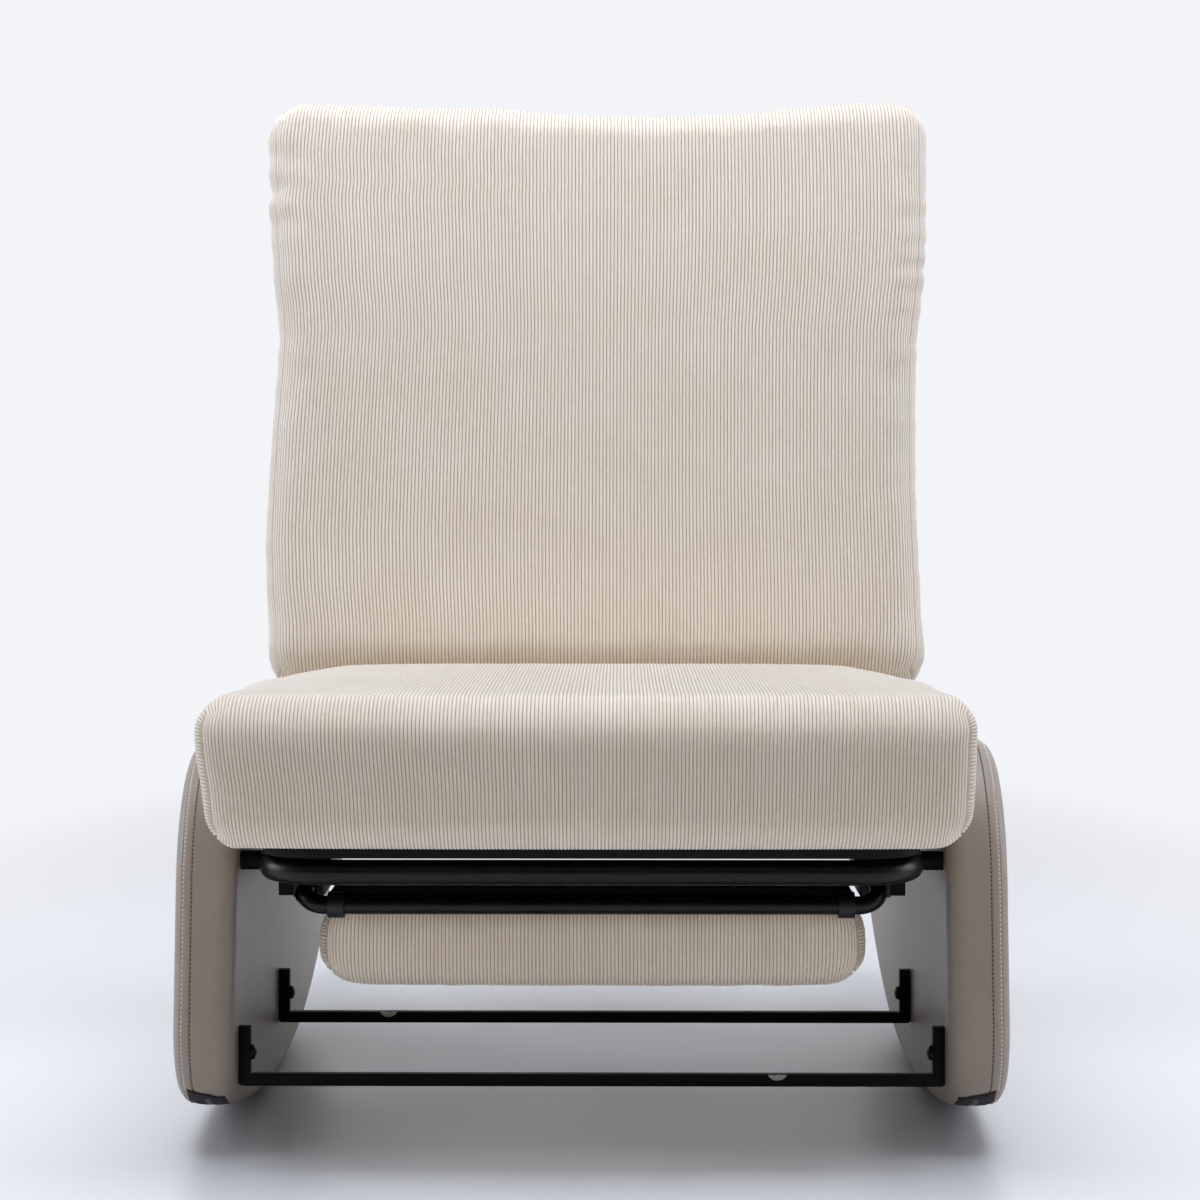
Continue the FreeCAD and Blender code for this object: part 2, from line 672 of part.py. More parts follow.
def build_footrest_pad():
    board_front_y = crossbar_y + hinge_block_size / 2
    board_half = pad_width / 2 - footrest_board_inset
    board_rear_y = pad_front_y + pad_depth - footrest_board_inset
    board_top_z = footrest_board_z + footrest_board_thickness
    board = block(Vector(-board_half, board_front_y, footrest_board_z), Vector(board_half, board_rear_y, board_top_z))
    save("footrest_board", board)
    lining = block(Vector(-board_half, board_front_y, board_top_z),
                   Vector(board_half, board_rear_y, board_top_z + lining_thickness))
    save("footrest_lining", lining)
    bore = rod(Vector(-pad_width, crossbar_y, crossbar_height), ALONG_X, slide_bore, 2 * pad_width)
    save("footrest_hinge_blocks", [hinge_block(side, 0).cut(bore) for side in (-1, 1)])
    build_footrest_cushion()


def build_footrest_cushion():
    half_width = pad_width / 2
    front_swell = bow_peak_share * pad_swell_shares[0] * (pad_width - 2 * pad_corner_radius)
    top_z = footrest_board_z - fit_gap
    outlines = []
    for height_share, side_share, front_share, rear_share in pad_level_shares:
        half = half_width - side_share * pad_edge_radius
        outline = cushion_outline(half, half, pad_front_y + front_swell + front_share * pad_edge_radius,
                                  pad_front_y + pad_depth - rear_share * pad_edge_radius,
                                  (pad_corner_radius, pad_corner_radius), pad_swell_shares)
        outline.translate(ALONG_Z * (top_z - (1 - height_share) * pad_height))
        outlines.append(outline)
    cushion = lofted(outlines)
    save("footrest_cushion", cushion.cut([hinge_block(side, fit_gap) for side in (-1, 1)]))


# The back is built upright with its hinge axis at zero, its front towards -Y, then leaned back
# and lifted to the hinge.

def leaned(shape):
    shape.rotate(Vector(), ALONG_X, -back_lean_angle)
    shape.translate(Vector(0, hinge_y, hinge_z))
    return shape


def build_back_frame():
    points = [Vector(back_leg_x, 0, -back_leg_heel), Vector(back_leg_x, 0, back_frame_top),
              Vector(-back_leg_x, 0, back_frame_top), Vector(-back_leg_x, 0, -back_leg_heel)]
    frame = bent_tube(points, (back_frame_corner_radius, back_frame_corner_radius), ALONG_Y, frame_tube)
    cross_bar = block(Vector(-back_leg_x, -cross_bar_thickness / 2, back_cross_bar_rise - cross_bar_depth / 2),
                      Vector(back_leg_x, cross_bar_thickness / 2, back_cross_bar_rise + cross_bar_depth / 2))
    pivot_hole = rod(ALONG_X * -rail_x, ALONG_X, pivot_diameter + 2 * running_play, 2 * rail_x)
    leg_holes = passage(Vector(), pivot_diameter + 2 * running_play, panel_gap)
    save("back_frame", leaned(frame.fuse(cross_bar).cut(leg_holes)))
    arms = []
    for side in (-1, 1):
        start = Vector(side * (back_leg_x + frame_tube / 2), 0, 0)
        head = aimed(hexagon(2 * hinge_arm_radius, hinge_plate_thickness, 0), start, ALONG_X * side)
        near_x, far_x = sorted((start.x, start.x + side * hinge_plate_thickness))
        bar = block(Vector(near_x, -frame_tube / 2, 0), Vector(far_x, frame_tube / 2, hinge_arm_length))
        arms.append(leaned(head.fuse(bar).removeSplitter().cut(pivot_hole)))
    save("hinge_back_arms", arms)


def build_hinges():
    """Seat side of the hinges: plates on the rails, pivots and cap nuts."""
    plates = []
    pivots = []
    nuts = []
    plate_x = rail_x - frame_tube / 2
    nut_x = back_leg_x - frame_tube / 2 - hinge_play
    head_x = rail_x + frame_tube / 2
    hole = rod(Vector(-rail_x, hinge_y, hinge_z), ALONG_X, pivot_diameter + 2 * running_play, 2 * rail_x)
    for side in (-1, 1):
        start = Vector(side * plate_x, hinge_y, hinge_z)
        head = aimed(hexagon(2 * hinge_plate_radius, hinge_plate_thickness, 0), start, ALONG_X * -side)
        low_x, high_x = sorted((start.x, start.x - side * hinge_plate_thickness))
        tab = block(Vector(low_x, hinge_y - hinge_plate_reach, hinge_z - frame_tube / 2),
                    Vector(high_x, hinge_y, hinge_z + frame_tube / 2))
        plates.append(head.fuse(tab).removeSplitter().cut(hole))
        pivot = bolt(pivot_diameter, head_x - nut_x, pivot_head_width, pivot_head_height)
        pivots.append(aimed(pivot, Vector(side * head_x, hinge_y, hinge_z), ALONG_X * -side))
        nuts.append(aimed(hexagon(nut_width, nut_thickness, 0), Vector(side * nut_x, hinge_y, hinge_z),
                          ALONG_X * -side))
    save("hinge_seat_plates", plates)
    save("hinge_pivots", pivots)
    save("hinge_cap_nuts", nuts)


def build_back_sling():
    """Woven sling in front of the tubes, with a sewn sleeve round each leg."""
    front = frame_tube / 2 + sling_thickness
    sheet = block(Vector(-back_leg_x, -front, sling_bottom_rise),
                  Vector(back_leg_x, -front + sling_thickness, sling_top_rise))
    sleeves = [block(Vector(side * back_leg_x - front, -front, sling_bottom_rise),
                     Vector(side * back_leg_x + front, front, sling_top_rise)) for side in (-1, 1)]
    tubes = [rod(Vector(side * back_leg_x, 0, sling_bottom_rise - overrun), ALONG_Z,
                 frame_tube + 2 * running_play, sling_top_rise - sling_bottom_rise + 2 * overrun)
             for side in (-1, 1)]
    save("back_sling", leaned(sheet.fuse(sleeves).removeSplitter().cut(tubes)))


# Depth from the rear face, then side, bottom and top draw of each outline of the back cushion
back_level_shares = ((0.0, 0.5, 0.45, 0.5), (0.14, 0.08, 0.08, 0.08), (0.7, 0.0, 0.0, 0.0),
                     (0.9, 0.26, 0.24, 0.3), (0.975, 0.8, 0.75, 0.85), (1.0, 2.2, 2.0, 2.0))


def build_back_cushion():
    """Outlines drawn flat with the bottom edge towards -Y, stood up and stacked towards the sitter."""
    outlines = []
    for depth_share, side_share, bottom_share, top_share in back_level_shares:
        draw = side_share * back_edge_radius
        outline = cushion_outline(back_cushion_bottom_width / 2 - draw, back_cushion_top_width / 2 - draw,
                                  back_cushion_bottom_rise + bottom_share * back_edge_radius,
                                  back_cushion_top_rise - top_share * back_edge_radius,
                                  (back_bottom_corner_radius, back_top_corner_radius),
                                  back_swell_shares)
        outline.rotate(Vector(), ALONG_X, 90)
        outline.translate(ALONG_Y * -(back_cushion_rear + depth_share * back_cushion_thickness))
        outlines.append(outline)
    save("back_cushion", leaned(lofted(outlines)))


for panel_side, panel_name in ((-1, "left"), (1, "right")):
    build_panel(panel_side, panel_name)
build_inserts()
build_stretcher("front_stretcher", front_bar_y)
build_stretcher("rear_stretcher", front_bar_y + stretcher_spacing)
build_stretcher_bolts()
build_buffers()
build_seat_frame()
build_frame_fixings()
build_seat_board()
build_seat_cushion()
build_guides()
build_footrest_frame()
build_footrest_pad()
build_hinges()
build_back_frame()
build_back_sling()
build_back_cushion()
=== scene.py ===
import math

import bmesh
import bpy
import numpy as np
from mathutils import Matrix, Quaternion, Vector


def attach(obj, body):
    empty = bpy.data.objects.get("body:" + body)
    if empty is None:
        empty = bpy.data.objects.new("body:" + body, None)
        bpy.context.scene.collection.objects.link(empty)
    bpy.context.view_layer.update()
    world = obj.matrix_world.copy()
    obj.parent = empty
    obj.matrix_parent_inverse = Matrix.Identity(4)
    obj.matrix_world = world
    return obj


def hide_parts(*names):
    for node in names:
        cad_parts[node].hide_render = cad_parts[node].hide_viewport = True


# Reclining lounge chair, dressed. Cream corduroy cushions rest on a black tube frame between two
# leather covered panels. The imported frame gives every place, in metres.

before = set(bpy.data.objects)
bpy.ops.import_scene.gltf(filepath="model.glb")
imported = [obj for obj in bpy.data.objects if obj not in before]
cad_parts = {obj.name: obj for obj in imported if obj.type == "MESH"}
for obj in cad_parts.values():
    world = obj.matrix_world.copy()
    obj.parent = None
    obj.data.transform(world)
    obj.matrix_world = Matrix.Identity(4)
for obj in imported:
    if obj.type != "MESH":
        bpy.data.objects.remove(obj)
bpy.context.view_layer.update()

# Sizes that the frame's source also has, in metres
panel_gap = 0.620
panel_thickness = 0.054
panel_middle_x = (panel_gap + panel_thickness) / 2
rim_radius = 0.018
rim_flat_half = panel_thickness / 2 - rim_radius
front_bar_y = -0.383
rear_bar_y = front_bar_y + 0.297
bar_size = 0.0105
bar_low_z = 0.054
toe_line_y = -0.433
shoulder_y = 0.040
tail_y = 0.502
panel_top_z = 0.350
flat_front_y = -0.064
flat_rear_y = -0.004
tube_radius = 0.011
footrest_tube_radius = 0.008
rail_x = 0.2785
frame_z = 0.250
hinge_y = 0.121
back_leg_x = 0.2434
lean_angle = math.radians(15.2)
cross_half = 0.0025
crossbar_y = -0.403
turning_block_x = 0.222
lining_z = 0.2272
quarter = math.pi / 2

mirror_x = Matrix.Diagonal((-1, 1, 1, 1))
# The back is made upright with its hinge axis at zero, then leaned and lifted to the hinge
back_lean = Matrix.Translation((0, hinge_y, frame_z)) @ Matrix.Rotation(-lean_angle, 4, "X")


# Small helpers

def colour(code):
    """Linear colour of an sRGB hex value."""
    shares = [int(code[place:place + 2], 16) / 255 for place in (1, 3, 5)]
    linear = [share / 12.92 if share <= 0.04045 else ((share + 0.055) / 1.055) ** 2.4 for share in shares]
    return (*linear, 1.0)


def activate(piece=None):
    """Leave edit mode, and select one piece or none."""
    if bpy.context.object and bpy.context.object.mode != "OBJECT":
        bpy.ops.object.mode_set(mode="OBJECT")
    bpy.ops.object.select_all(action="DESELECT")
    if piece:
        piece.select_set(True)
        bpy.context.view_layer.objects.active = piece


def edit(piece):
    """Open a piece for editing with all of it selected."""
    activate(piece)
    bpy.ops.object.mode_set(mode="EDIT")
    bpy.ops.mesh.select_mode(type="EDGE")
    bpy.ops.mesh.select_all(action="SELECT")


def leave_edit():
    bpy.ops.object.mode_set(mode="OBJECT")


def select_in(piece, kind, rule):
    """In edit mode, select only the edges or the faces that a rule accepts."""
    bpy.ops.mesh.select_mode(type={"edges": "EDGE", "faces": "FACE"}[kind])
    bpy.ops.mesh.select_all(action="DESELECT")
    shape = bmesh.from_edit_mesh(piece.data)
    for part in getattr(shape, kind):
        if rule(part):
            part.select_set(True)
    shape.select_flush_mode()
    bmesh.update_edit_mesh(piece.data)


def middle_of(part):
    points = [vertex.co for vertex in part.verts]
    return sum(points, Vector()) / len(points)


def soften(piece, offset, segments, angle):
    """In edit mode, bevel the edges that turn by more than an angle in degrees."""
    select_in(piece, "edges", lambda edge: len(edge.link_faces) == 2
              and edge.calc_face_angle(0) > math.radians(angle))
    bpy.ops.mesh.bevel(offset=offset, segments=segments, affect="EDGES")


def primitive(kind, stretch=(1, 1, 1), **settings):
    """Add one of Blender's mesh primitives, with its place and stretch put into its mesh."""
    activate()
    getattr(bpy.ops.mesh, "primitive_" + kind + "_add")(**settings)
    piece = bpy.context.object
    piece.scale = stretch
    bpy.ops.object.transform_apply(location=True, rotation=True, scale=True)
    return piece


def settle(piece, smooth_angle=35.0):
    """Weld a piece, turn its faces outwards and shade it smooth."""
    edit(piece)
    bpy.ops.mesh.remove_doubles(threshold=0.000001)
    bpy.ops.mesh.normals_make_consistent(inside=False)
    leave_edit()
    bpy.ops.object.shade_smooth_by_angle(angle=math.radians(smooth_angle))
    return piece


def thicken(piece, thickness, offset):
    """Give an open sheet its thickness, inwards or to both sides."""
    solid = piece.modifiers.new("thickness", "SOLIDIFY")
    solid.thickness = thickness
    solid.offset = offset
    activate(piece)
    bpy.ops.object.modifier_apply(modifier="thickness")


def joined(name, parts):
    """Join pieces into one."""
    activate(parts[0])
    for part in parts:
        part.select_set(True)
    if len(parts) > 1:
        bpy.ops.object.join()
    parts[0].name = name
    parts[0].data.name = name
    return parts[0]


def copied(piece, matrix, flip=False):
    """A copy with its own mesh, moved by a matrix, and turned the right way out if mirrored."""
    twin = piece.copy()
    twin.data = piece.data.copy()
    bpy.context.scene.collection.objects.link(twin)
    twin.data.transform(matrix)
    if flip:
        twin.data.flip_normals()
    return twin


def dress(piece, finish, body, slot, *stands_for):
    """Give a piece its finish and its body, and hide the nodes it stands for. The slot is not used."""
    piece.data.materials.clear()
    piece.data.materials.append(finish)
    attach(piece, body)
    if stands_for:
        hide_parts(*stands_for)


def mesh_piece(name, points, faces):
    mesh = bpy.data.meshes.new(name)
    mesh.from_pydata([tuple(point) for point in points], [], faces)
    mesh.update()
    piece = bpy.data.objects.new(name, mesh)
    bpy.context.scene.collection.objects.link(piece)
    return piece


# Finishes

# A noise's scale is in cells per metre, so leather's pebble is 1.2 mm and the powder coat's orange-peel
# 1.4 mm. Real pile tufts and mould textures are finer than the 1.1 and 0.9 mm drawn here to show them.

class Nodes:
    """A node tree, and the coordinates that its textures follow."""

    def __init__(self, tree, place="Object"):
        self.tree = tree
        self.place = self.add("TexCoord", output=place)

    def give(self, node, name, value):
        """Set an input to a value or a colour, or link it to an output."""
        if isinstance(value, bpy.types.NodeSocket):
            self.tree.links.new(value, node.inputs[name])
        else:
            node.inputs[name].default_value = colour(value) if isinstance(value, str) else value

    def add(self, kind, inputs=None, output=0, **settings):
        """Add a node with its settings and links, and hand back one of its outputs, where it has any."""
        made = self.tree.nodes.new("ShaderNode" + kind)
        for name, value in settings.items():
            setattr(made, name, value)
        if kind.startswith("Tex") and "Vector" in made.inputs:
            self.give(made, "Vector", self.place)
        for name, value in (inputs or {}).items():
            self.give(made, name, value)
        return made.outputs[output] if len(made.outputs) else None


class Finish(Nodes):
    """A surface finish, whose nodes read the piece's own coordinates."""

    def __init__(self, name):
        self.material = bpy.data.materials.new(name)
        self.material.use_nodes = True
        super().__init__(self.material.node_tree)
        self.surface = self.tree.nodes["Principled BSDF"]

    def done(self, base, rough, normal=None, gloss=0.5, **more):
        """Set the surface's colour, roughness, relief and gloss, and what else is named."""
        values = {"Base Color": base, "Roughness": rough, "Specular IOR Level": gloss, **more}
        if normal:
            values["Normal"] = normal
        for name, value in values.items():
            self.give(self.surface, name.replace("_", " "), value)
        return self.material


def corduroy_finish():
    """Cut-pile corduroy, 3.3 mm wales: pale soft ridges over darker taupe valleys, whose colour is partly the
    ground cloth's own tone and partly painted shade in the grooves, with a brushed fuzz.
    """
    nodes = Finish("cream_cut_pile_corduroy")
    wale = nodes.add("Attribute", output="Fac", attribute_name="wale")
    pile = nodes.add("TexNoise", {"Scale": 900.0, "Detail": 3.0})
    tone = nodes.add("TexNoise", {"Scale": 14.0, "Detail": 3.0})
    ridge = nodes.add("Mix", {0: tone, 6: "#F1E4D2", 7: "#FBF2E6"}, 2, data_type="RGBA")
    # Valley colour: partly the ground cloth's own tone, partly painted shade in the grooves between the
    # ridges
    valley_painted_shade = nodes.add("Mix", {0: pile, 6: "#A48C6E", 7: "#CAB396"}, 2, data_type="RGBA")
    depth = nodes.add("MapRange", {"Value": wale, "From Min": 0.05, "From Max": 0.95},
                      interpolation_type="SMOOTHSTEP")
    shade = nodes.add("Mix", {0: depth, 6: valley_painted_shade, 7: ridge}, 2, data_type="RGBA")
    speck = nodes.add("MapRange", {"Value": pile, "From Min": 0.3, "From Max": 0.7,
                                   "To Min": 0.9, "To Max": 1.04})
    tinted = nodes.add("VectorMath", {0: shade, "Scale": speck}, operation="SCALE")
    rough = nodes.add("MapRange", {"Value": pile, "To Min": 0.86, "To Max": 1.0})
    fuzz = nodes.add("Bump", {"Height": pile, "Strength": 0.35, "Distance": 0.0006})
    return nodes.done(tinted, rough, fuzz, 0.2, Sheen_Weight=0.8, Sheen_Roughness=0.4)


def leather_finish():
    """Corrected-grain upholstery leather, taupe grey: fine pebble, satin gloss, upright waves, and painted
    shade that darkens the creases between the pebbles.
    """
    nodes = Finish("taupe_pebbled_leather")
    wander = nodes.add("TexNoise", {"Scale": 300.0, "Detail": 2.0}, "Color")
    bent = nodes.add("Mix", {0: 0.0012, 4: nodes.place, 5: wander}, 1, data_type="VECTOR")
    pebble = nodes.add("TexVoronoi", {"Vector": bent, "Scale": 800.0}, "Distance", feature="SMOOTH_F1")
    tone = nodes.add("TexNoise", {"Scale": 9.0, "Detail": 4.0})
    skin = nodes.add("Mix", {0: tone, 6: "#978B7F", 7: "#A79B8F"}, 2, data_type="RGBA")
    # Painted shade: the colour is darkened towards the creases between the pebbles, where shade falls
    crease_painted_shade = nodes.add("MapRange", {"Value": pebble, "From Max": 0.8, "To Min": 1.0, "To Max": 0.86})
    toned = nodes.add("VectorMath", {0: skin, "Scale": crease_painted_shade}, operation="SCALE")
    upright = nodes.add("Mapping", {"Vector": nodes.place, "Scale": (50.0, 50.0, 5.0)})
    folds = nodes.add("TexNoise", {"Vector": upright, "Scale": 1.0, "Detail": 3.0})
    waves = nodes.add("Bump", {"Height": folds, "Strength": 0.5, "Distance": 0.0018})
    grain = nodes.add("Bump", {"Height": pebble, "Strength": 0.35, "Distance": 0.0004, "Normal": waves},
                      invert=True)
    rough = nodes.add("MapRange", {"Value": pebble, "To Min": 0.36, "To Max": 0.52})
    return nodes.done(toned, rough, grain)


def woven_finish(name, warp_code, weft_code, thread, rough):
    """Plain-woven cloth: over-and-under threads in two close shades, with their relief."""
    nodes = Finish(name)
    waves = {"Scale": math.pi / thread / 10, "Distortion": 0.4}
    warp, weft = [nodes.add("TexWave", waves, "Fac", bands_direction=axis) for axis in "XZ"]
    over = nodes.add("Math", {0: warp, 1: weft}, operation="MULTIPLY")
    wear = nodes.add("TexNoise", {"Scale": 120.0, "Detail": 4.0})
    worn = nodes.add("Math", {0: over, 1: wear}, operation="ADD")
    share = nodes.add("MapRange", {"Value": worn, "From Min": 0.3, "From Max": 1.3})
    shades = nodes.add("Mix", {0: share, 6: warp_code, 7: weft_code}, 2, data_type="RGBA")
    relief = nodes.add("Bump", {"Height": over, "Strength": 0.4, "Distance": thread / 4})
    return nodes.done(shades, rough, relief, 0.25)


def grained_finish(name, codes, rough, tone, relief, gloss=0.5, metal=0.0, tone_gloss=True, tone_relief=True,
                   stretch=None, rough_span=(0.0, 1.0)):
    """Two close shades in a tone noise, and a fine relief. Gloss and relief follow the tone or the grain."""
    nodes = Finish(name)
    place = nodes.add("Mapping", {"Vector": nodes.place, "Scale": stretch}) if stretch else nodes.place
    tones = nodes.add("TexNoise", {"Vector": place, "Scale": tone[0], "Detail": tone[1]})
    grain = tones
    if not tone_relief:
        grain = nodes.add("TexNoise", {"Scale": relief[2], "Detail": relief[3]})
    normal = None
    if relief:
        normal = nodes.add("Bump", {"Height": grain, "Strength": relief[0], "Distance": relief[1]})
    roughness = nodes.add("MapRange", {"Value": tones if tone_gloss else grain, "From Min": rough_span[0],
                                       "From Max": rough_span[1], "To Min": rough[0], "To Max": rough[1]})
    shades = nodes.add("Mix", {0: tones, 6: codes[0], 7: codes[1]}, 2, data_type="RGBA")
    return nodes.done(shades, roughness, normal, gloss, Metallic=metal)


def powder_coat(name, codes, rough, gloss):
    """Powder-coated steel: near black, with the fine orange-peel that the baked powder leaves."""
    return grained_finish(name, codes, rough, (25.0, 4.0), (0.12, 0.0004, 700.0, 1.0), gloss,
                          tone_relief=False, rough_span=(0.3, 0.7))


def plated(name, codes, rough):
    """Plated steel: bright to dark metal with faint tumbling scratches in its gloss."""
    return grained_finish(name, codes, rough, (420.0, 5.0), (0.08, 0.0002), metal=1.0)


def moulded(name, codes, rough):
    """Moulded plastic or rubber: even colour with the fine spark-eroded texture of its mould."""
    return grained_finish(name, codes, rough, (30.0, 3.0), (0.15, 0.0003, 1100.0, 2.0),
                          tone_gloss=False, tone_relief=False)


def clear_vinyl_finish():
    """Clear vinyl bumper pad: see-through, softly glossy, edges a little milky."""
    nodes = Finish("clear_vinyl")
    haze = nodes.add("TexNoise", {"Scale": 260.0, "Detail": 2.0})
    rough = nodes.add("MapRange", {"Value": haze, "To Min": 0.12, "To Max": 0.3})
    return nodes.done("#E4E7E6", rough, Transmission_Weight=0.75, IOR=1.5)


corduroy = corduroy_finish()
leather = leather_finish()
tube_coat = powder_coat("black_satin_powder_coat", ("#060607", "#0D0D0E"), (0.26, 0.36), 0.30)
bar_coat = powder_coat("black_flat_powder_coat", ("#050506", "#0B0B0C"), (0.45, 0.6), 0.12)
black_zinc = plated("black_zinc_plate", ("#1C1C1E", "#303033"), (0.3, 0.45))
bright_zinc = plated("bright_zinc_plate", ("#A9ABAD", "#C6C8CA"), (0.22, 0.4))
# Woven ones have their thread spacing in metres
zip_tape_cloth = woven_finish("woven_zip_tape", "#2B292C", "#474449", 0.0007, 0.85)
sling_canvas = woven_finish("black_sling_canvas", "#141415", "#2B2B2D", 0.0012, 0.8)
lining_cloth = woven_finish("black_lining_cloth", "#070708", "#141314", 0.0009, 0.95)
pale_thread = woven_finish("pale_sewing_thread", "#CFC8BC", "#EFEAE1", 0.0004, 0.7)
brown_thread = woven_finish("brown_sewing_thread", "#3E2E2A", "#5A4640", 0.0004, 0.7)
zip_coil = moulded("grey_nylon_zip_coil", ("#4A484D", "#6A676C"), (0.35, 0.5))
nylon = moulded("black_moulded_nylon", ("#080809", "#101011"), (0.4, 0.55))
stop_plastic = moulded("black_moulded_stop", ("#0E0E0F", "#1A1A1B"), (0.35, 0.5))
rubber = moulded("black_rubber_pad", ("#0F0F10", "#1A1A1A"), (0.7, 0.85))
wadding = moulded("white_foam_wadding", ("#D9D4C8", "#E7E3DA"), (0.9, 1.0))
clear_vinyl = clear_vinyl_finish()
# Plywood board painted black: flat paint that follows the long grain a little
board_paint = grained_finish("black_painted_plywood", ("#070708", "#111110"), (0.6, 0.8), (6.0, 5.0),
                             (0.2, 0.0004), 0.2, stretch=(4.0, 90.0, 90.0))
# Raw birch plywood, hidden in the panels: pale wood with long fine grain
birch_ply = grained_finish("raw_birch_plywood", ("#B99B6C", "#DCC59B"), (0.7, 0.7), (5.0, 6.0), None,
                           stretch=(60.0, 3.0, 60.0))


# Cushions. Each cover is one long cloth wrapped round the foam across the chair, front, top, rear and
# underside, with a panel sewn in at each side. It is laid out as a grid, blown up by a cloth
# simulation, and then given its corduroy wales as real ridges.

# Places across one wale, with their height from valley to ridge
wale_steps = ((0.0, 0.0), (0.17, 0.74), (0.5, 1.0), (0.83, 0.74))
# Height that the finish reads along a seam, which colours the seam part way towards the valleys' painted
# shade
seam_wale = 0.45
# Share of a cell between a panel's edge and its seam
seam_margin = 0.12


def spline(before, start, end, after, share):
    """Catmull-Rom curve from start to end."""
    return 0.5 * (2 * start + (end - before) * share + (2 * before - 5 * start + 4 * end - after) * share ** 2
                  + (3 * start - before - 3 * end + after) * share ** 3)


def with_ends(values, axis):
    """A row or column more at each end, in line with the last two."""
    first, second = np.take(values, [0], axis), np.take(values, [1], axis)
    last, last_but_one = np.take(values, [-1], axis), np.take(values, [-2], axis)
    return np.concatenate([2 * first - second, values, 2 * last - last_but_one], axis=axis)


def between_rows(rows, places, closed):
    """Smooth values between the rows of a grid, at places given in row numbers."""
    last = len(rows) - (1 if closed else 2)
    around = np.concatenate([rows[-1:], rows, rows[:3]]) if closed else with_ends(rows, 0)
    base = np.clip(np.floor(places).astype(int), 0, last)
    return spline(*[around[base + offset] for offset in range(4)], (places - base)[:, None, None])


def edge_step(flat, half, radius):
    """From a place measured along the cloth to a place on a square box, even round the edges."""
    straight = half - radius
    beyond = np.clip((np.abs(flat) - straight) / radius, 0, None)
    return np.sign(flat) * np.where(beyond > 0, straight + radius * np.tan(beyond), np.abs(flat))


def rounded(points, halves, radius):
    """Pull the points of a square box onto the same box with round edges."""
    core = np.clip(points, -(halves - radius), halves - radius)
    away = points - core
    length = np.linalg.norm(away, axis=-1, keepdims=True)
    return core + away / np.maximum(length, 1e-9) * radius


def border(values):
    """The values round the edge of a side panel's grid, in the order of the wrap's rows."""
    return np.concatenate([values[0, :-1], values[:-1, -1], values[-1, :0:-1], values[:0:-1, 0]])


class CushionGrid:
    """The cover's cloth as a coarse grid: a closed wrap of rows by columns, and two side panels."""

    def __init__(self, halves, radius, cell):
        self.halves = np.array(halves)
        self.flat = self.halves - radius + radius * math.pi / 4
        self.across, self.along, self.tall = [max(4, round(2 * length / cell)) for length in self.flat]
        steps = [np.linspace(-length, length, count + 1)
                 for length, count in zip(self.flat, (self.across, self.along, self.tall))]
        xs, ys, zs = [edge_step(step, half, radius) for step, half in zip(steps, halves)]
        half_x, half_y, half_z = halves
        ring = [(-half_y, z) for z in zs[:-1]] + [(y, half_z) for y in ys[:-1]]
        ring += [(half_y, z) for z in zs[:0:-1]] + [(y, -half_z) for y in ys[:0:-1]]
        self.ring_count = len(ring)
        wrap = np.array([[(x, y, z) for x in xs] for y, z in ring])
        sides = [np.array([[(side * half_x, y, z) for z in zs] for y in ys]) for side in (-1, 1)]
        self.wrap = rounded(wrap, self.halves, radius)
        self.sides = [rounded(side, self.halves, radius) for side in sides]
        self.wrap_ids = np.arange(self.ring_count * len(xs)).reshape(self.ring_count, len(xs))
        self.count = self.wrap_ids.size
        self.side_ids = [self.numbered(0), self.numbered(-1)]

    def numbered(self, column):
        """Vertex numbers of a side panel, with its border on the wrap's own."""
        ids = np.full((self.along + 1, self.tall + 1), -1)
        rows, columns = np.indices(ids.shape)
        ids[border(rows), border(columns)] = self.wrap_ids[:, column]
        inner = ids < 0
        ids[inner] = self.count + np.arange(inner.sum())
        self.count += inner.sum()
        return ids

    def points(self):
        made = np.zeros((self.count, 3))
        for ids, places in [*zip(self.side_ids, self.sides), (self.wrap_ids, self.wrap)]:
            made[ids.ravel()] = places.reshape(-1, 3)
        return made

    def take(self, points):
        self.wrap = points[self.wrap_ids]
        self.sides = [points[ids] for ids in self.side_ids]

    def faces(self):
        rows = np.vstack([self.wrap_ids, self.wrap_ids[:1]])
        return grid_faces(rows) + grid_faces(self.side_ids[0]) + grid_faces(self.side_ids[1][::-1])

    def seam_weights(self, reach):
        """Nearness to the side seams, one at the seam and zero a few cells away."""
        weights = np.zeros(self.count)
        columns = np.arange(self.across + 1)
        weights[self.wrap_ids] = np.clip(1 - np.minimum(columns, self.across - columns) / reach, 0, 1)
        alongs = np.arange(self.along + 1)[:, None]
        talls = np.arange(self.tall + 1)[None, :]
        edge = np.minimum(np.minimum(alongs, self.along - alongs), np.minimum(talls, self.tall - talls))
        for ids in self.side_ids:
            weights[ids] = np.maximum(weights[ids], np.clip(1 - edge / reach, 0, 1))
        return weights


def grid_faces(ids):
    corners = np.stack([ids[:-1, :-1], ids[:-1, 1:], ids[1:, 1:], ids[1:, :-1]], axis=-1)
    return corners.reshape(-1, 4).tolist()


def outward_normals(points, faces):
    """Vertex normals of a closed set of quads, turned away from its middle."""
    quads = np.array(faces)
    crosses = np.cross(points[quads[:, 2]] - points[quads[:, 0]], points[quads[:, 3]] - points[quads[:, 1]])
    normals = np.zeros_like(points)
    for corner in range(4):
        for axis in range(3):
            normals[:, axis] += np.bincount(quads[:, corner], weights=crosses[:, axis], minlength=len(points))
    normals /= np.maximum(np.linalg.norm(normals, axis=1, keepdims=True), 1e-12)
    return normals * np.sign(np.sum(normals * (points - points.mean(axis=0)), axis=1))[:, None]


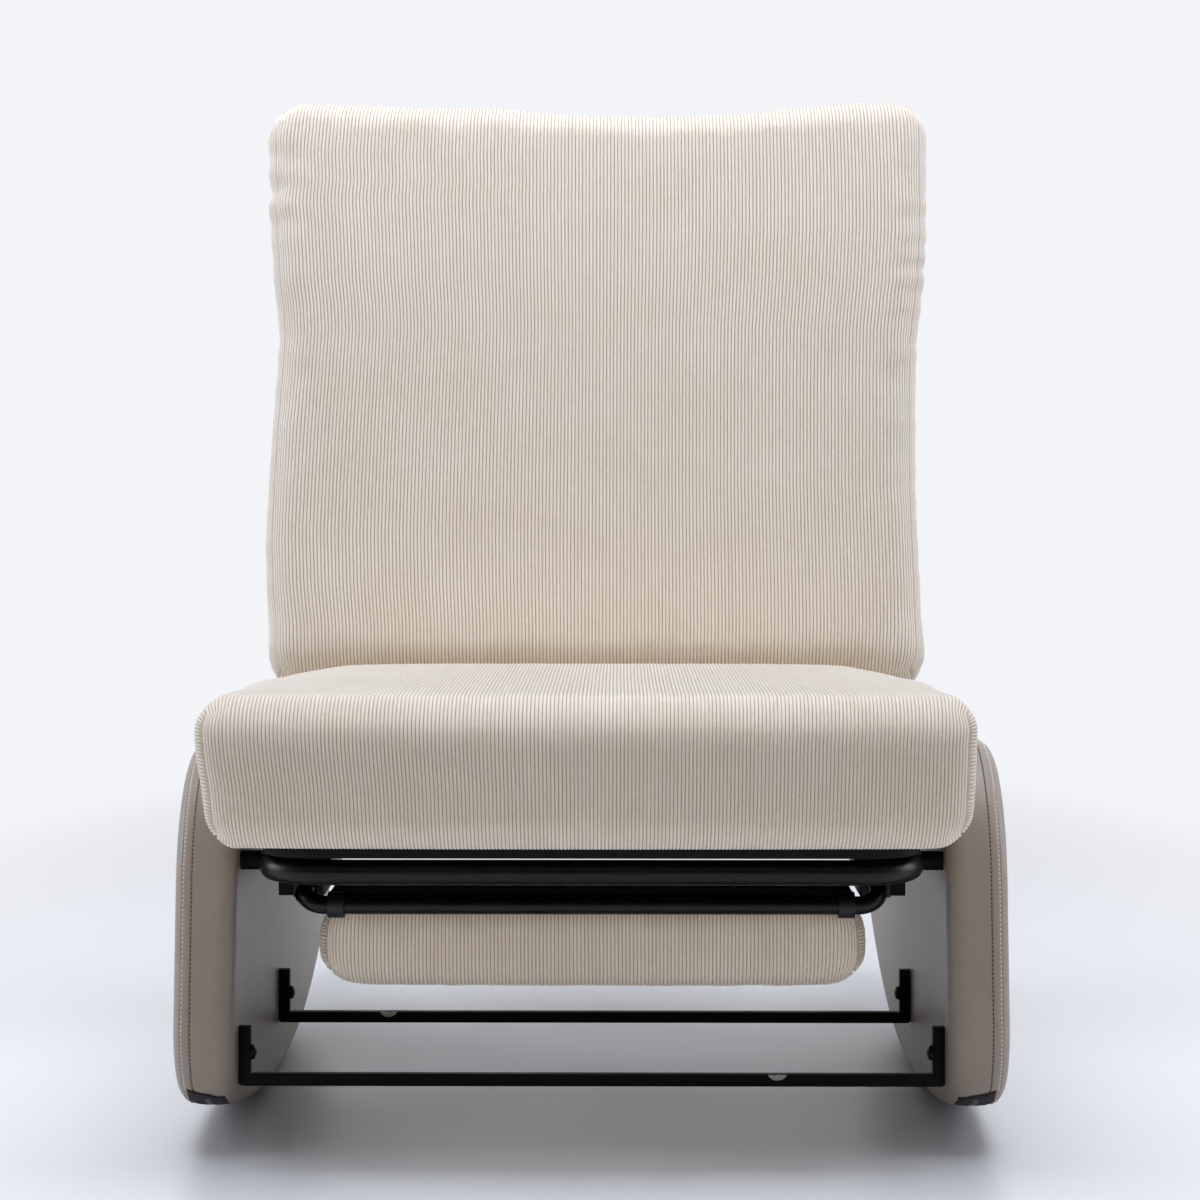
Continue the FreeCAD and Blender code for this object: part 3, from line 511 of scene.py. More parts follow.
def smoothed(values, faces, rounds):
    """Values at vertices, each averaged with its neighbours over and over."""
    quads = np.array(faces)
    pairs = np.vstack([quads[:, [0, 1]], quads[:, [1, 2]], quads[:, [2, 3]], quads[:, [3, 0]]])
    pairs = np.unique(np.sort(pairs, axis=1), axis=0)
    pairs = np.vstack([pairs, pairs[:, ::-1]])
    count = np.bincount(pairs[:, 0], minlength=len(values))
    for _ in range(rounds):
        values = np.bincount(pairs[:, 0], weights=values[pairs[:, 1]], minlength=len(values)) / count
    return values


def blown_up(grid, start, seam_pull, fullness, cap, seed):
    """Where the cloth ends after pressure has filled it and its seams have drawn tight."""
    faces = grid.faces()
    lumps = smoothed(np.random.default_rng(seed).normal(0, 1, len(start)), faces, 6)
    begin = start + outward_normals(start, faces) * (0.0012 * lumps / lumps.std())[:, None]
    draft = mesh_piece("cover_draft", begin, faces)
    activate(draft)
    group = draft.vertex_groups.new(name="seams")
    weights = grid.seam_weights(2.0)
    for index in np.nonzero(weights > 0)[0]:
        group.add([int(index)], float(weights[index]), "REPLACE")
    cloth = draft.modifiers.new("cover", "CLOTH")
    settings = {"quality": 6, "mass": 0.3, "tension_stiffness": 18, "compression_stiffness": 12,
                "shear_stiffness": 6, "bending_stiffness": 0.6, "use_pressure": True,
                "uniform_pressure_force": 4.0, "vertex_group_shrink": "seams", "shrink_min": -fullness,
                "shrink_max": seam_pull}
    for name, value in settings.items():
        setattr(cloth.settings, name, value)
    cloth.settings.effector_weights.gravity = 0
    cloth.collision_settings.use_collision = False
    cloth.point_cache.frame_start = 1
    cloth.point_cache.frame_end = 20
    for number in range(1, 21):
        bpy.context.scene.frame_set(number)
    filled = draft.evaluated_get(bpy.context.evaluated_depsgraph_get())
    ends = np.array([vertex.co[:] for vertex in filled.data.vertices])
    bpy.data.objects.remove(draft)
    bpy.context.scene.frame_set(1)
    moved = ends - start
    far = np.linalg.norm(moved, axis=1, keepdims=True)
    return start + moved * np.minimum(1, cap / np.maximum(far, 1e-9))


def stuffed(grid, start, ends, full_share, pucker_share):
    """The stuffed cushion: firm foam holds back most of the swelling and keeps the cloth's puckers."""
    faces = grid.faces()
    normals = outward_normals(start, faces)
    push = np.sum((ends - start) * normals, axis=1)
    broad = smoothed(push, faces, 40)
    broad = broad - np.percentile(broad, 12)
    puckers = smoothed(np.clip(push - smoothed(push, faces, 40), -0.006, 0.006), faces, 1)
    return start + normals * (full_share * broad + pucker_share * puckers)[:, None]


def fitted(points, start, low, high):
    """Move and stretch points so that the start form fills the box, and ease back what stands out of it."""
    have_low, have_high = start.min(axis=0), start.max(axis=0)
    placed = low + (points - have_low) / (have_high - have_low) * (high - low)
    return placed - 0.7 * np.maximum(placed - high, 0) + 0.7 * np.maximum(low - placed, 0)


def soft_waves(first, second, seed, amount):
    """Smooth seeded wander over two directions."""
    random = np.random.default_rng(seed)
    total = 0
    for _ in range(6):
        turns = random.uniform(0.5, 5.0, 2)
        start = random.uniform(0, 2 * math.pi)
        total = total + np.sin(turns[0] * 2 * math.pi * first + turns[1] * 2 * math.pi * second + start)
    return amount * total / 3


def waled_panel(rows, row_places, closed, ribs, wale_height, seam_sink, seed):
    """Resample a panel with its wales running along the rows. Returns points and wale heights."""
    columns = rows.shape[1] - 1
    shares = [(rib + step, height) for rib in range(ribs) for step, height in wale_steps]
    places, heights = np.array([*shares, (ribs, 0.0)]).T
    places = places / ribs
    down = between_rows(rows, row_places, closed)
    edge = seam_margin / columns
    row_share = row_places / max(row_places.max(), 1)
    fade = np.clip(np.minimum(places, 1 - places) * ribs / 3, 0, 1)
    drift = soft_waves(places[None, :], row_share[:, None], seed, 0.05 / ribs) * fade[None, :]
    sample = ((edge + places * (1 - 2 * edge))[None, :] + drift) * columns
    base = np.clip(np.floor(sample).astype(int), 0, columns - 1)
    around = with_ends(down, 1)
    index = np.arange(len(down))[:, None]
    points = spline(*[around[index, base + offset] for offset in range(4)], (sample - base)[..., None])
    if closed:
        down_run = np.roll(points, -1, axis=0) - np.roll(points, 1, axis=0)
    else:
        down_run = np.gradient(points, axis=0)
    normals = np.cross(np.gradient(points, axis=1), down_run)
    normals /= np.maximum(np.linalg.norm(normals, axis=2, keepdims=True), 1e-12)
    normals *= np.sign(np.sum(normals * (points - rows.reshape(-1, 3).mean(axis=0)), axis=2).mean())
    seams = np.zeros(points.shape[:2], bool)
    seams[:, [0, -1]] = True
    seams[[0, -1]] |= not closed
    lift = (heights[None, :] - 0.5) * wale_height - np.where(seams, seam_sink, 0.0)
    return points + normals * lift[..., None], np.where(seams, seam_wale, heights)


def zipped_faces(places, ids, other_places, other_ids):
    """Triangles between two rings of vertices, each with its places once round."""
    made = []
    one, two = 0, 0
    # After a ring's last vertex come its closing step and then no more
    ends = [*places[1:], 1e5, 1e6]
    other_ends = [*other_places[1:], 1e5, 1e6]
    while one + two < len(ids) + len(other_ids):
        pair = [ids[one % len(ids)], other_ids[two % len(other_ids)]]
        if ends[one] <= other_ends[two]:
            one += 1
            pair.insert(1, ids[one % len(ids)])
        else:
            two += 1
            pair.insert(1, other_ids[two % len(other_ids)])
        made.append(pair)
    return made


def wale_cover(name, grid, wale, side_ribs_along, row_step, wale_height, seam_sink, seed):
    """Final cover mesh: ridged wrap, ridged side panels and the sunk seams between them."""
    cell = 2 * grid.flat[1] / grid.along
    rows = round(grid.ring_count * cell / row_step)
    wrap_places = np.arange(rows) * grid.ring_count / rows
    wrap, heights = waled_panel(grid.wrap, wrap_places, True, round(2 * grid.flat[0] / wale), wale_height,
                                seam_sink, seed)
    points, wales = [wrap.reshape(-1, 3)], [heights.ravel()]
    ids = np.arange(heights.size).reshape(heights.shape)
    faces = grid_faces(np.vstack([ids, ids[:1]]))
    next_id = ids.size
    for which, panel in enumerate(grid.sides):
        laid = panel if side_ribs_along else panel.transpose(1, 0, 2)
        run, cross = (grid.along, grid.tall) if side_ribs_along else (grid.tall, grid.along)
        ribs = max(4, round(2 * grid.flat[2 if side_ribs_along else 1] / wale))
        side_rows = max(4, round(run * cell / row_step))
        places = seam_margin + np.arange(side_rows + 1) / side_rows * (run - 2 * seam_margin)
        side, heights = waled_panel(laid, places, False, ribs, wale_height, seam_sink, seed + 1 + which)
        side_ids = next_id + np.arange(heights.size).reshape(heights.shape)
        next_id += heights.size
        points.append(side.reshape(-1, 3))
        wales.append(heights.ravel())
        faces += grid_faces(side_ids if which == 0 else side_ids[::-1])
        cross_places = np.linspace(0, cross, side_ids.shape[1])
        alongs, talls = (places, cross_places) if side_ribs_along else (cross_places, places)
        loop_places = np.concatenate([talls[:-1], grid.tall + alongs[:-1],
                                      2 * grid.tall + grid.along - talls[:0:-1],
                                      2 * grid.tall + 2 * grid.along - alongs[:0:-1]])
        loop_ids = border(side_ids if side_ribs_along else side_ids.T)
        faces += zipped_faces(wrap_places, ids[:, -which], loop_places, loop_ids)
    cover = mesh_piece(name, np.vstack(points), [[int(corner) for corner in face] for face in faces])
    wale_values = cover.data.attributes.new("wale", "FLOAT", "POINT")
    wale_values.data.foreach_set("value", np.concatenate(wales).astype(np.float32))
    edit(cover)
    bpy.ops.mesh.normals_make_consistent(inside=False)
    leave_edit()
    bpy.ops.object.shade_smooth()
    return cover


def table_value(table, where):
    return np.interp(where, [row[0] for row in table], [row[1] for row in table])


# Panel outline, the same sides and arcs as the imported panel. Points are (Y, Z), clockwise from the toe as
# seen from +X, and an inset moves all of it inwards.

def moved_side(place, direction, inset):
    direction = np.array(direction) / np.linalg.norm(direction)
    inward = np.array([direction[1], -direction[0]])
    return np.array(place) + inward * inset, direction, inward


def side_corner(first, second, radius):
    place, run, inward = first
    other_place, other_run, _ = second
    gap = other_place - place
    across = run[0] * other_run[1] - run[1] * other_run[0]
    corner = place + run * ((gap[0] * other_run[1] - gap[1] * other_run[0]) / across)
    reach = radius * math.tan(math.acos(max(-1, min(1, run @ other_run))) / 2)
    start = corner - run * reach
    return start, start + inward * radius, corner + other_run * reach


def rocker_corner(side, rocker_centre, rocker_radius, radius):
    place, run, inward = side
    track = place + inward * radius
    gap = track - rocker_centre
    along = gap @ run
    reach = math.sqrt(along ** 2 - gap @ gap + (rocker_radius - radius) ** 2)
    step = min((-along - reach, -along + reach), key=lambda value: (track + run * value)[1])
    centre = track + run * step
    to_rocker = (centre - rocker_centre) / np.linalg.norm(centre - rocker_centre)
    return centre - inward * radius, centre, rocker_centre + to_rocker * rocker_radius


def arc_points(start, centre, end, steps):
    first = math.atan2(*(start - centre)[::-1])
    turn = (math.atan2(*(end - centre)[::-1]) - first + math.pi) % (2 * math.pi) - math.pi
    radius = np.linalg.norm(start - centre)
    angles = [first + turn * step / steps for step in range(steps)]
    return [centre + radius * np.array([math.cos(angle), math.sin(angle)]) for angle in angles]


def line_points(start, end, steps):
    return [start + (end - start) * step / steps for step in range(steps)]


def panel_outline(inset):
    lean, fall = math.radians(6.6), math.radians(16.3)
    front_rocker, rear_rocker = 1.370, 0.880
    radii = (0.075, 0.130, 0.200, 0.026)
    toe_radius, brow_radius, shoulder_radius, tail_radius = [radius - inset for radius in radii]
    front = moved_side((toe_line_y, 0), (math.sin(lean), math.cos(lean)), inset)
    top = moved_side((shoulder_y, panel_top_z), (1, 0), inset)
    slope = moved_side((shoulder_y, panel_top_z), (math.cos(fall), -math.sin(fall)), inset)
    tail = moved_side((tail_y, panel_top_z), (0, -1), inset)
    front_centre, rear_centre = np.array([flat_front_y, front_rocker]), np.array([flat_rear_y, rear_rocker])
    toe = rocker_corner(front, front_centre, front_rocker - inset, toe_radius)
    brow = side_corner(front, top, brow_radius)
    shoulder = side_corner(top, slope, shoulder_radius)
    tail_top = side_corner(slope, tail, tail_radius)
    foot = rocker_corner(tail, rear_centre, rear_rocker - inset, tail_radius)
    flat_front, flat_rear = np.array([flat_front_y, inset]), np.array([flat_rear_y, inset])
    points = arc_points(*toe[::-1], 20) + line_points(toe[0], brow[0], 16)
    points += arc_points(*brow, 20) + line_points(brow[2], shoulder[0], 20)
    points += arc_points(*shoulder, 10) + line_points(shoulder[2], tail_top[0], 40)
    points += arc_points(*tail_top, 10) + line_points(tail_top[2], foot[0], 3)
    points += arc_points(*foot, 10) + arc_points(foot[2], rear_centre, flat_rear, 40)
    points += line_points(flat_rear, flat_front, 6) + arc_points(flat_front, front_centre, toe[2], 30)
    return np.array(points)


outline = panel_outline(0.0)
outline_count = len(outline)
outline_ends = np.vstack([outline, outline[:1]])
outline_run = np.concatenate([[0], np.cumsum(np.linalg.norm(np.diff(outline_ends, axis=0), axis=1))])
outline_inset = [panel_outline(step / 1000) for step in range(19)]


def rim_inset(x):
    """How far the rolled rim has drawn in at a place across the panel."""
    over = max(0.0, abs(x - panel_middle_x) - rim_flat_half)
    return rim_radius - math.sqrt(max(0.0, rim_radius ** 2 - over ** 2))


def rim_place(run, x, lift=0.0):
    """Point on the rim at a length along the outline and a place across it, with its outward direction."""
    run = run % outline_run[-1]
    index = min(int(np.searchsorted(outline_run, run, side="right")) - 1, outline_count - 1)
    share = (run - outline_run[index]) / (outline_run[index + 1] - outline_run[index])
    inset = rim_inset(x) * 1000
    low = min(17, int(inset))
    part = inset - low
    loop = outline_inset[low] * (1 - part) + outline_inset[low + 1] * part
    point = loop[index] * (1 - share) + loop[(index + 1) % outline_count] * share
    tangent = outline_ends[index + 1] - outline_ends[index]
    tangent = tangent / np.linalg.norm(tangent)
    outward = np.array([-tangent[1], tangent[0]])
    over = max(0.0, abs(x - panel_middle_x) - rim_flat_half) / rim_radius
    across = math.copysign(min(1.0, over), x - panel_middle_x)
    normal = Vector((across, *(outward * math.sqrt(max(0.0, 1 - across ** 2))))).normalized()
    return Vector((x, point[0], point[1])) + normal * lift, Vector((0, *tangent)), normal


def inside_panel(points):
    """Signed distance to the panel's rolled form, negative inside, for points on the +X side."""
    flat = points[:, 1:]
    best = np.full(len(flat), 1e9)
    signs = np.ones(len(flat), bool)
    for start, end in zip(outline_ends[:-1], outline_ends[1:]):
        run = end - start
        share = np.clip((flat - start) @ run / (run @ run), 0, 1)
        away = flat - (start + share[:, None] * run)
        best = np.minimum(best, np.linalg.norm(away, axis=1))
        inward = np.array([run[1], -run[0]])
        signs &= (flat - start) @ inward > 0
    depth = np.where(signs, best, -best)
    beside = np.abs(points[:, 0] - panel_middle_x) - rim_flat_half
    beyond = rim_radius - depth
    outside = np.hypot(np.maximum(beside, 0), np.maximum(beyond, 0))
    return outside + np.minimum(np.maximum(beside, beyond), 0) - rim_radius


def pressed_by_panels(points, clearance):
    """Move the points that lie in a panel out of it, the short way, and leave the rest."""
    points = points.copy()
    near_x, near_z = 0.29, 0.37
    for _ in range(12):
        mirrored = points.copy()
        mirrored[:, 0] = np.abs(mirrored[:, 0])
        near = np.nonzero((mirrored[:, 0] > near_x) & (points[:, 2] < near_z))[0]
        if not len(near):
            break
        spot = mirrored[near]
        gap = inside_panel(spot) - clearance
        inside = gap < 0
        if not inside.any():
            break
        spot = spot[inside]
        steps = np.eye(3) * 0.0005
        slopes = np.stack([inside_panel(spot + step) - inside_panel(spot - step) for step in steps], axis=1)
        slopes /= np.maximum(np.linalg.norm(slopes, axis=1, keepdims=True), 1e-6)
        moved = spot - slopes * gap[inside][:, None]
        moved[:, 0] *= np.sign(points[near[inside], 0])
        points[near[inside]] = moved
    return points


# The three cushions. Reach tables give how far a side comes out from the middle, left and right, in metres.

back_foot_z = 0.099
back_top_z = 0.7425
back_left_reach = ((0.099, 0.337), (0.156, 0.3395), (0.198, 0.345), (0.252, 0.3485), (0.306, 0.3475),
                   (0.361, 0.346), (0.416, 0.3435), (0.472, 0.341), (0.500, 0.3435), (0.529, 0.348),
                   (0.586, 0.353), (0.619, 0.3565), (0.640, 0.3545), (0.669, 0.3572), (0.713, 0.355),
                   (0.745, 0.352))
back_right_reach = ((0.099, 0.336), (0.156, 0.3393), (0.198, 0.3395), (0.252, 0.3388), (0.306, 0.3382),
                    (0.361, 0.3397), (0.416, 0.3412), (0.472, 0.3438), (0.529, 0.3518), (0.586, 0.3567),
                    (0.643, 0.3578), (0.678, 0.3575), (0.713, 0.3570), (0.745, 0.356))
back_top_rise = ((-0.356, 0.7410), (-0.300, 0.7425), (-0.213, 0.7390), (-0.105, 0.7375), (-0.051, 0.7315),
                 (0.003, 0.7290), (0.058, 0.7270), (0.112, 0.7290), (0.166, 0.7315), (0.220, 0.7375),
                 (0.274, 0.7425), (0.310, 0.7425), (0.356, 0.7405))
seat_left_reach = ((0, 0.3270), (0.25, 0.3300), (0.42, 0.3320), (0.6, 0.3360), (0.75, 0.3385), (0.9, 0.3400))
seat_right_reach = ((0, 0.3220), (0.25, 0.3245), (0.42, 0.3255), (0.7, 0.3270), (0.85, 0.3290), (1, 0.3310))
# How far the seat's rear is drawn in, and its front eased back, from foot to top
seat_rear_drawn = ((0, 0.010), (0.15, 0.0), (0.5, 0.003), (0.7, 0.022), (0.88, 0.044), (1, 0.072))
seat_front_eased = ((0.5, 0), (0.7, 0.003), (0.84, 0.009), (0.94, 0.018), (1, 0.026))


def grown(value, start, end=1.0):
    """Zero at a start, one at an end, and straight between."""
    return np.clip((value - start) / (end - start), 0, 1)


def reach_of(left_table, right_table, x, height):
    return np.where(x < 0, table_value(left_table, height), table_value(right_table, height))


def seat_form(points, grid):
    """Seat cushion from its rounded box: bowed front, crowned top, rear drawn in under the back."""
    x, y, z = points.T.copy()
    half_x, half_y, half_z = grid.halves
    across, depth, height = x / half_x, y / half_y, (z + half_z) / (2 * half_z)
    bow = 1 - across ** 2
    new_y = y - 0.009 * bow * grown(-depth, 0) + 0.004 * bow * grown(depth, 0)
    new_y -= table_value(seat_rear_drawn, height) * grown(depth, 0.35)
    new_y += table_value(seat_front_eased, height) * grown(-depth, 0.5)
    new_x = across * reach_of(seat_left_reach, seat_right_reach, x, height)
    from_side = half_x - np.abs(x)
    slump = 0.0035 * grown(-np.minimum(from_side, (half_y + y) * 0.8), -0.085, 0) ** 2
    slump += 0.026 * np.abs(across) ** 5 * grown(depth, -0.1, 0.8)
    slump += 0.0055 * grown(-from_side, -0.075, 0) ** 1.5 * grown(depth, -0.85, -0.35)
    low_corner = 0.008 * grown(across, 0.82) ** 2 + 0.003 * grown(-across, 0.88) ** 2
    low_corner *= grown(-height, -0.3, 0) * grown(-depth, 0) ** 2
    return np.stack([new_x, new_y, z - slump * grown(height, 0.5) + low_corner], axis=1)


def crease_rows(place, seed):
    """Uneven soft creases, 18 to 45 mm apart, that run in from a seam."""
    random = np.random.default_rng(seed)
    total = 0
    for _ in range(5):
        pitch = random.uniform(0.018, 0.045)
        total = total + np.sin(place * 2 * math.pi / pitch + random.uniform(0, 2 * math.pi))
    return total / 3


def back_form(points, grid):
    """Back cushion from its rounded box, upright: waisted sides, raised top corners, crowned front."""
    x, y, z = points.T.copy()
    half_x, half_y, half_z = grid.halves
    across, depth, rise = x / half_x, y / half_y, (z + half_z) / (2 * half_z)
    on_left = x < 0
    place = back_foot_z + rise * (back_top_z - back_foot_z)
    new_x = across * reach_of(back_left_reach, back_right_reach, x, place)
    new_z = z - (back_top_z - table_value(back_top_rise, new_x)) * grown(rise, 0.6) ** 2
    crown = 0.009 * (1 - np.abs(across) ** 4) * (1 - np.abs(2 * rise - 1) ** 4)
    from_seam = half_x - np.abs(x)
    slanted = new_z + 0.25 * from_seam
    crease_painted_shade = np.where(on_left, crease_rows(slanted, 4), crease_rows(slanted, 8))
    crease_painted_shade *= 0.3 + 0.7 * np.exp(-((rise - np.where(on_left, 0.78, 0.70)) / 0.16) ** 2)
    crease_painted_shade *= np.exp(-from_seam / 0.026)
    new_x = new_x + np.sign(x) * 0.0012 * crease_painted_shade
    new_y = y - (crown + 0.0020 * crease_painted_shade) * grown(-depth, 0)
    return np.stack([new_x, new_y, new_z], axis=1)


def pad_form(points, grid):
    """Footrest cushion from its rounded box: flat on its board, barrel-shaped sides, rounder below."""
    x, y, z = points.T.copy()
    half_x, half_y, half_z = grid.halves
    across, height = x / half_x, (z + half_z) / (2 * half_z)
    barrel = 0.0035 * (2 * height - 1) ** 2
    new_x = x - np.sign(x) * barrel * grown(np.abs(across), 0.75)
    new_z = z + 0.0045 * grown(-height, -0.5, 0) * across ** 6
    new_y = y - 0.018 * grown(y / half_y, 0) * grown(-height, -0.625, 0)
    return np.stack([new_x, new_y, new_z], axis=1)


def cushion_points(grid, form, low, high, cap, seam_pull, fullness, full_share, pucker_share, seed):
    """Shape the grid, let the cloth fill it, and fit it to its box."""
    start = form(grid.points(), grid)
    ends = blown_up(grid, start, seam_pull, fullness, cap, seed)
    return fitted(stuffed(grid, start, ends, full_share, pucker_share), start, np.array(low), np.array(high))


def make_seat_cushion():
    grid = CushionGrid((0.332, 0.2795, 0.0632), 0.028, 0.008)
    points = cushion_points(grid, seat_form, (-0.3365, -0.5015, 0.2742), (0.3285, 0.0570, 0.4010),
                            cap=0.024, seam_pull=0.03, fullness=0.012, full_share=0.16, pucker_share=0.15,
                            seed=5)
    points[:, 2] = np.maximum(points[:, 2], 0.2745)
    grid.take(pressed_by_panels(points, 0.0014))
    cover = wale_cover("seat_cushion_cover", grid, wale=0.00328, side_ribs_along=True, row_step=0.007,
                       wale_height=0.0012, seam_sink=0.0006, seed=11)
    dress(cover, corduroy, "base", "corduroy", "seat_cushion")


def make_back_cushion():
    grid = CushionGrid((0.352, 0.0673, 0.32175), 0.034, 0.008)
    points = cushion_points(grid, back_form, (-0.3545, -0.1488, back_foot_z), (0.3560, -0.0142, back_top_z),
                            cap=0.026, seam_pull=0.035, fullness=0.016, full_share=0.14, pucker_share=0.45,
                            seed=9)
    points[:, 1] = np.minimum(points[:, 1], -0.0150)
    grid.take(points)
    cover = wale_cover("back_cushion_cover", grid, wale=0.00375, side_ribs_along=False, row_step=0.007,
                       wale_height=0.0012, seam_sink=0.0009, seed=23)
    cover.data.transform(back_lean)
    dress(cover, corduroy, "back", "corduroy", "back_cushion")


def make_footrest_cushion():
    grid = CushionGrid((0.240, 0.074, 0.038), 0.026, 0.0055)
    points = cushion_points(grid, pad_form, (-0.2395, -0.3938, 0.1418), (0.2410, -0.2460, 0.2176),
                            cap=0.010, seam_pull=0.02, fullness=0.008, full_share=0.15, pucker_share=0.6,
                            seed=13)
    points[:, 2] = np.minimum(points[:, 2], 0.2170)
    # The cloth gives way under the turning blocks' tongues and behind their heads
    by_block = np.abs(np.abs(points[:, 0]) - turning_block_x) < 0.0085
    points[by_block & (points[:, 1] < -0.3570) & (points[:, 2] > 0.2110), 2] = 0.2110
    points[by_block & (points[:, 1] < -0.3910) & (points[:, 2] > 0.2040), 1] = -0.3910
    grid.take(points)
    cover = wale_cover("footrest_cushion_cover", grid, wale=0.0033, side_ribs_along=True, row_step=0.006,
                       wale_height=0.0013, seam_sink=0.0009, seed=37)
    dress(cover, corduroy, "footrest_pad", "corduroy", "footrest_cushion")


# Panels

zip_depth = 0.0030
inner_x = panel_gap / 2
outer_x = inner_x + panel_thickness
pale_row_x = outer_x - 0.0084
brown_row_x = outer_x - 0.0163
tape_half_width = 0.0160


def rim_profile():
    """Places across the rim with their inset: rolled edges, and a pressed line under each row of stitches."""
    turns = [math.radians(turn) for turn in np.linspace(0, 90, 13)]
    places = [inner_x + rim_radius * (1 - math.cos(turn)) for turn in turns]
    places += [outer_x - rim_radius * (1 - math.cos(turn)) for turn in turns]
    places += [panel_middle_x + side * reach for side in (-1, 1) for reach in (0.0, 0.0060, 0.0156, 0.0168)]
    places = [x for x in places if min(abs(x - pale_row_x), abs(x - brown_row_x)) > 0.0022]
    for row_x in (pale_row_x, brown_row_x):
        places += [row_x + offset for offset in (-0.0018, -0.0011, -0.0005, 0.0, 0.0005, 0.0011, 0.0018)]
    shaped = []
    for x in sorted(set(places)):
        inset = rim_inset(x)
        # Depth or, if negative, height of each ridge along the rim, with its place and its width
        for depth, place, width in ((0.0006, pale_row_x, 0.0008), (0.0010, brown_row_x, 0.0007),
                                    (-0.0004, pale_row_x + 0.0020, 0.0012),
                                    (-0.0004, brown_row_x - 0.0020, 0.0012)):
            inset += depth * math.exp(-((x - place) / width) ** 2)
        shaped.append((x, min(rim_radius, max(0.0, inset))))
    return shaped


def tape_share(inset_loop, x):
    """One where the zip tape lies in the leather, at the points of a loop, and zero elsewhere."""
    top_line = 0.050 + (inset_loop[:, 0] - toe_line_y) / (tail_y - toe_line_y) * 0.105
    slanted = top_line - 0.010 * (panel_middle_x + tape_half_width - x) / (2 * tape_half_width)
    below = np.clip((slanted - inset_loop[:, 1]) / 0.002, 0, 1)
    beside = np.clip((0.0168 - abs(x - panel_middle_x)) / 0.0012, 0, 1)
    return below * beside


def make_panel_cover():
    """Right panel's leather: a ring put on the outline, drawn across in steps over the rolled rim."""
    profile = rim_profile()
    cover = primitive("circle", vertices=outline_count, radius=0.2)
    loop = panel_outline(profile[0][1])
    for vertex, (y, z) in zip(cover.data.vertices, loop):
        vertex.co = (profile[0][0], y, z)
    edit(cover)
    for x, inset in profile[1:]:
        previous = loop
        loop = panel_outline(inset)
        sunk = panel_outline(min(rim_radius, inset + zip_depth))
        share = tape_share(loop, x)[:, None]
        loop = loop * (1 - share) + sunk * share
        bpy.ops.mesh.extrude_region_move(TRANSFORM_OT_translate={"value": (0.001, 0, 0)})
        shape = bmesh.from_edit_mesh(cover.data)
        for vertex in [vertex for vertex in shape.verts if vertex.select]:
            index = int(np.argmin(np.sum((previous - (vertex.co.y, vertex.co.z)) ** 2, axis=1)))
            vertex.co = (x, *loop[index])
        bmesh.update_edit_mesh(cover.data)
    bpy.ops.mesh.select_all(action="SELECT")
    bpy.ops.mesh.fill_holes(sides=0)
    leave_edit()
    return settle(cover, 40)


def copies_along_rim(name, base, spots, smooth_angle):
    """One piece from copies of a small one, at places along the rim: its Z runs along, its Y stands out."""
    base_points = [vertex.co.copy() for vertex in base.data.vertices]
    base_faces = [list(face.vertices) for face in base.data.polygons]
    points = []
    faces = []
    for run, x, lift in spots:
        place, tangent, normal = rim_place(run, x, lift)
        side = normal.cross(tangent).normalized()
        faces += [[len(points) + corner for corner in face] for face in base_faces]
        points += [place + side * co.x + normal * co.y + tangent * co.z for co in base_points]
    bpy.data.objects.remove(base)
    return settle(mesh_piece(name, points, faces), smooth_angle)


def seam_stitches(x, pitch, lift):
    """One row of stitches along the rim: a short rounded bar copied at each stitch, its ends sunk."""
    radius, length = 0.0007, 0.0027
    stitch = primitive("cylinder", vertices=6, radius=radius, depth=length)
    edit(stitch)
    bpy.ops.mesh.bisect(plane_co=(0, 0, 0), plane_no=(0, 0, 1))
    select_in(stitch, "faces", lambda face: abs(face.normal.z) > 0.9)
    bpy.ops.mesh.inset(thickness=0.0002, depth=0.0)
    leave_edit()
    for vertex in stitch.data.vertices:
        vertex.co.y -= radius * (2 * abs(vertex.co.z) / length) ** 2
    count = int((tail_run - toe_run) / pitch)
    spots = [(toe_run + (number + 0.5) * pitch, x, lift) for number in range(count)]
    return copies_along_rim("stitch_row", stitch, spots, 60)


def outline_run_at(height, rear):
    """Length along the outline where its toe or its tail reaches a height, on the outer side."""
    runs = [(abs(z - height), run) for (y, z), run in zip(outline, outline_run)
            if abs(z - height) < 0.02 and ((y > 0.46) if rear else (y < -0.38))]
    return min(runs)[1]


toe_run = outline_run_at(0.050, False)
tail_run = outline_run_at(0.150, True)
tape_length = outline_run[-1] - tail_run + toe_run


def tape_run(share, x):
    """Length along the outline at a share of the tape, whose front end is cut on a slant."""
    slant = 0.013 * (panel_middle_x + tape_half_width - x) / (2 * tape_half_width)
    return toe_run - slant - share * (tape_length - slant)


def make_zip_tape():
    """Two tapes side by side in the leather's channel, each with a raised edge beside the coil."""
    tape = primitive("grid", x_subdivisions=24, y_subdivisions=240, size=1.0)
    for vertex in tape.data.vertices:
        share = vertex.co.y + 0.5
        across = vertex.co.x * 2
        x = panel_middle_x + across * tape_half_width
        hem = 0.0007 * math.exp(-((abs(across) - 0.30) / 0.07) ** 2)
        hem -= 0.0008 * math.exp(-(across / 0.10) ** 2)
        ripple = 0.00025 * math.sin(share * 260 + across * 2)
        end = min(1.0, share / 0.004, (1 - share) / 0.004)
        edge = 0.0006 * abs(across) ** 8
        vertex.co = rim_place(tape_run(share, x), x, -0.0018 + (hem + ripple) * end - edge)[0]
    thicken(tape, 0.0010, -1)
    return settle(tape, 50)


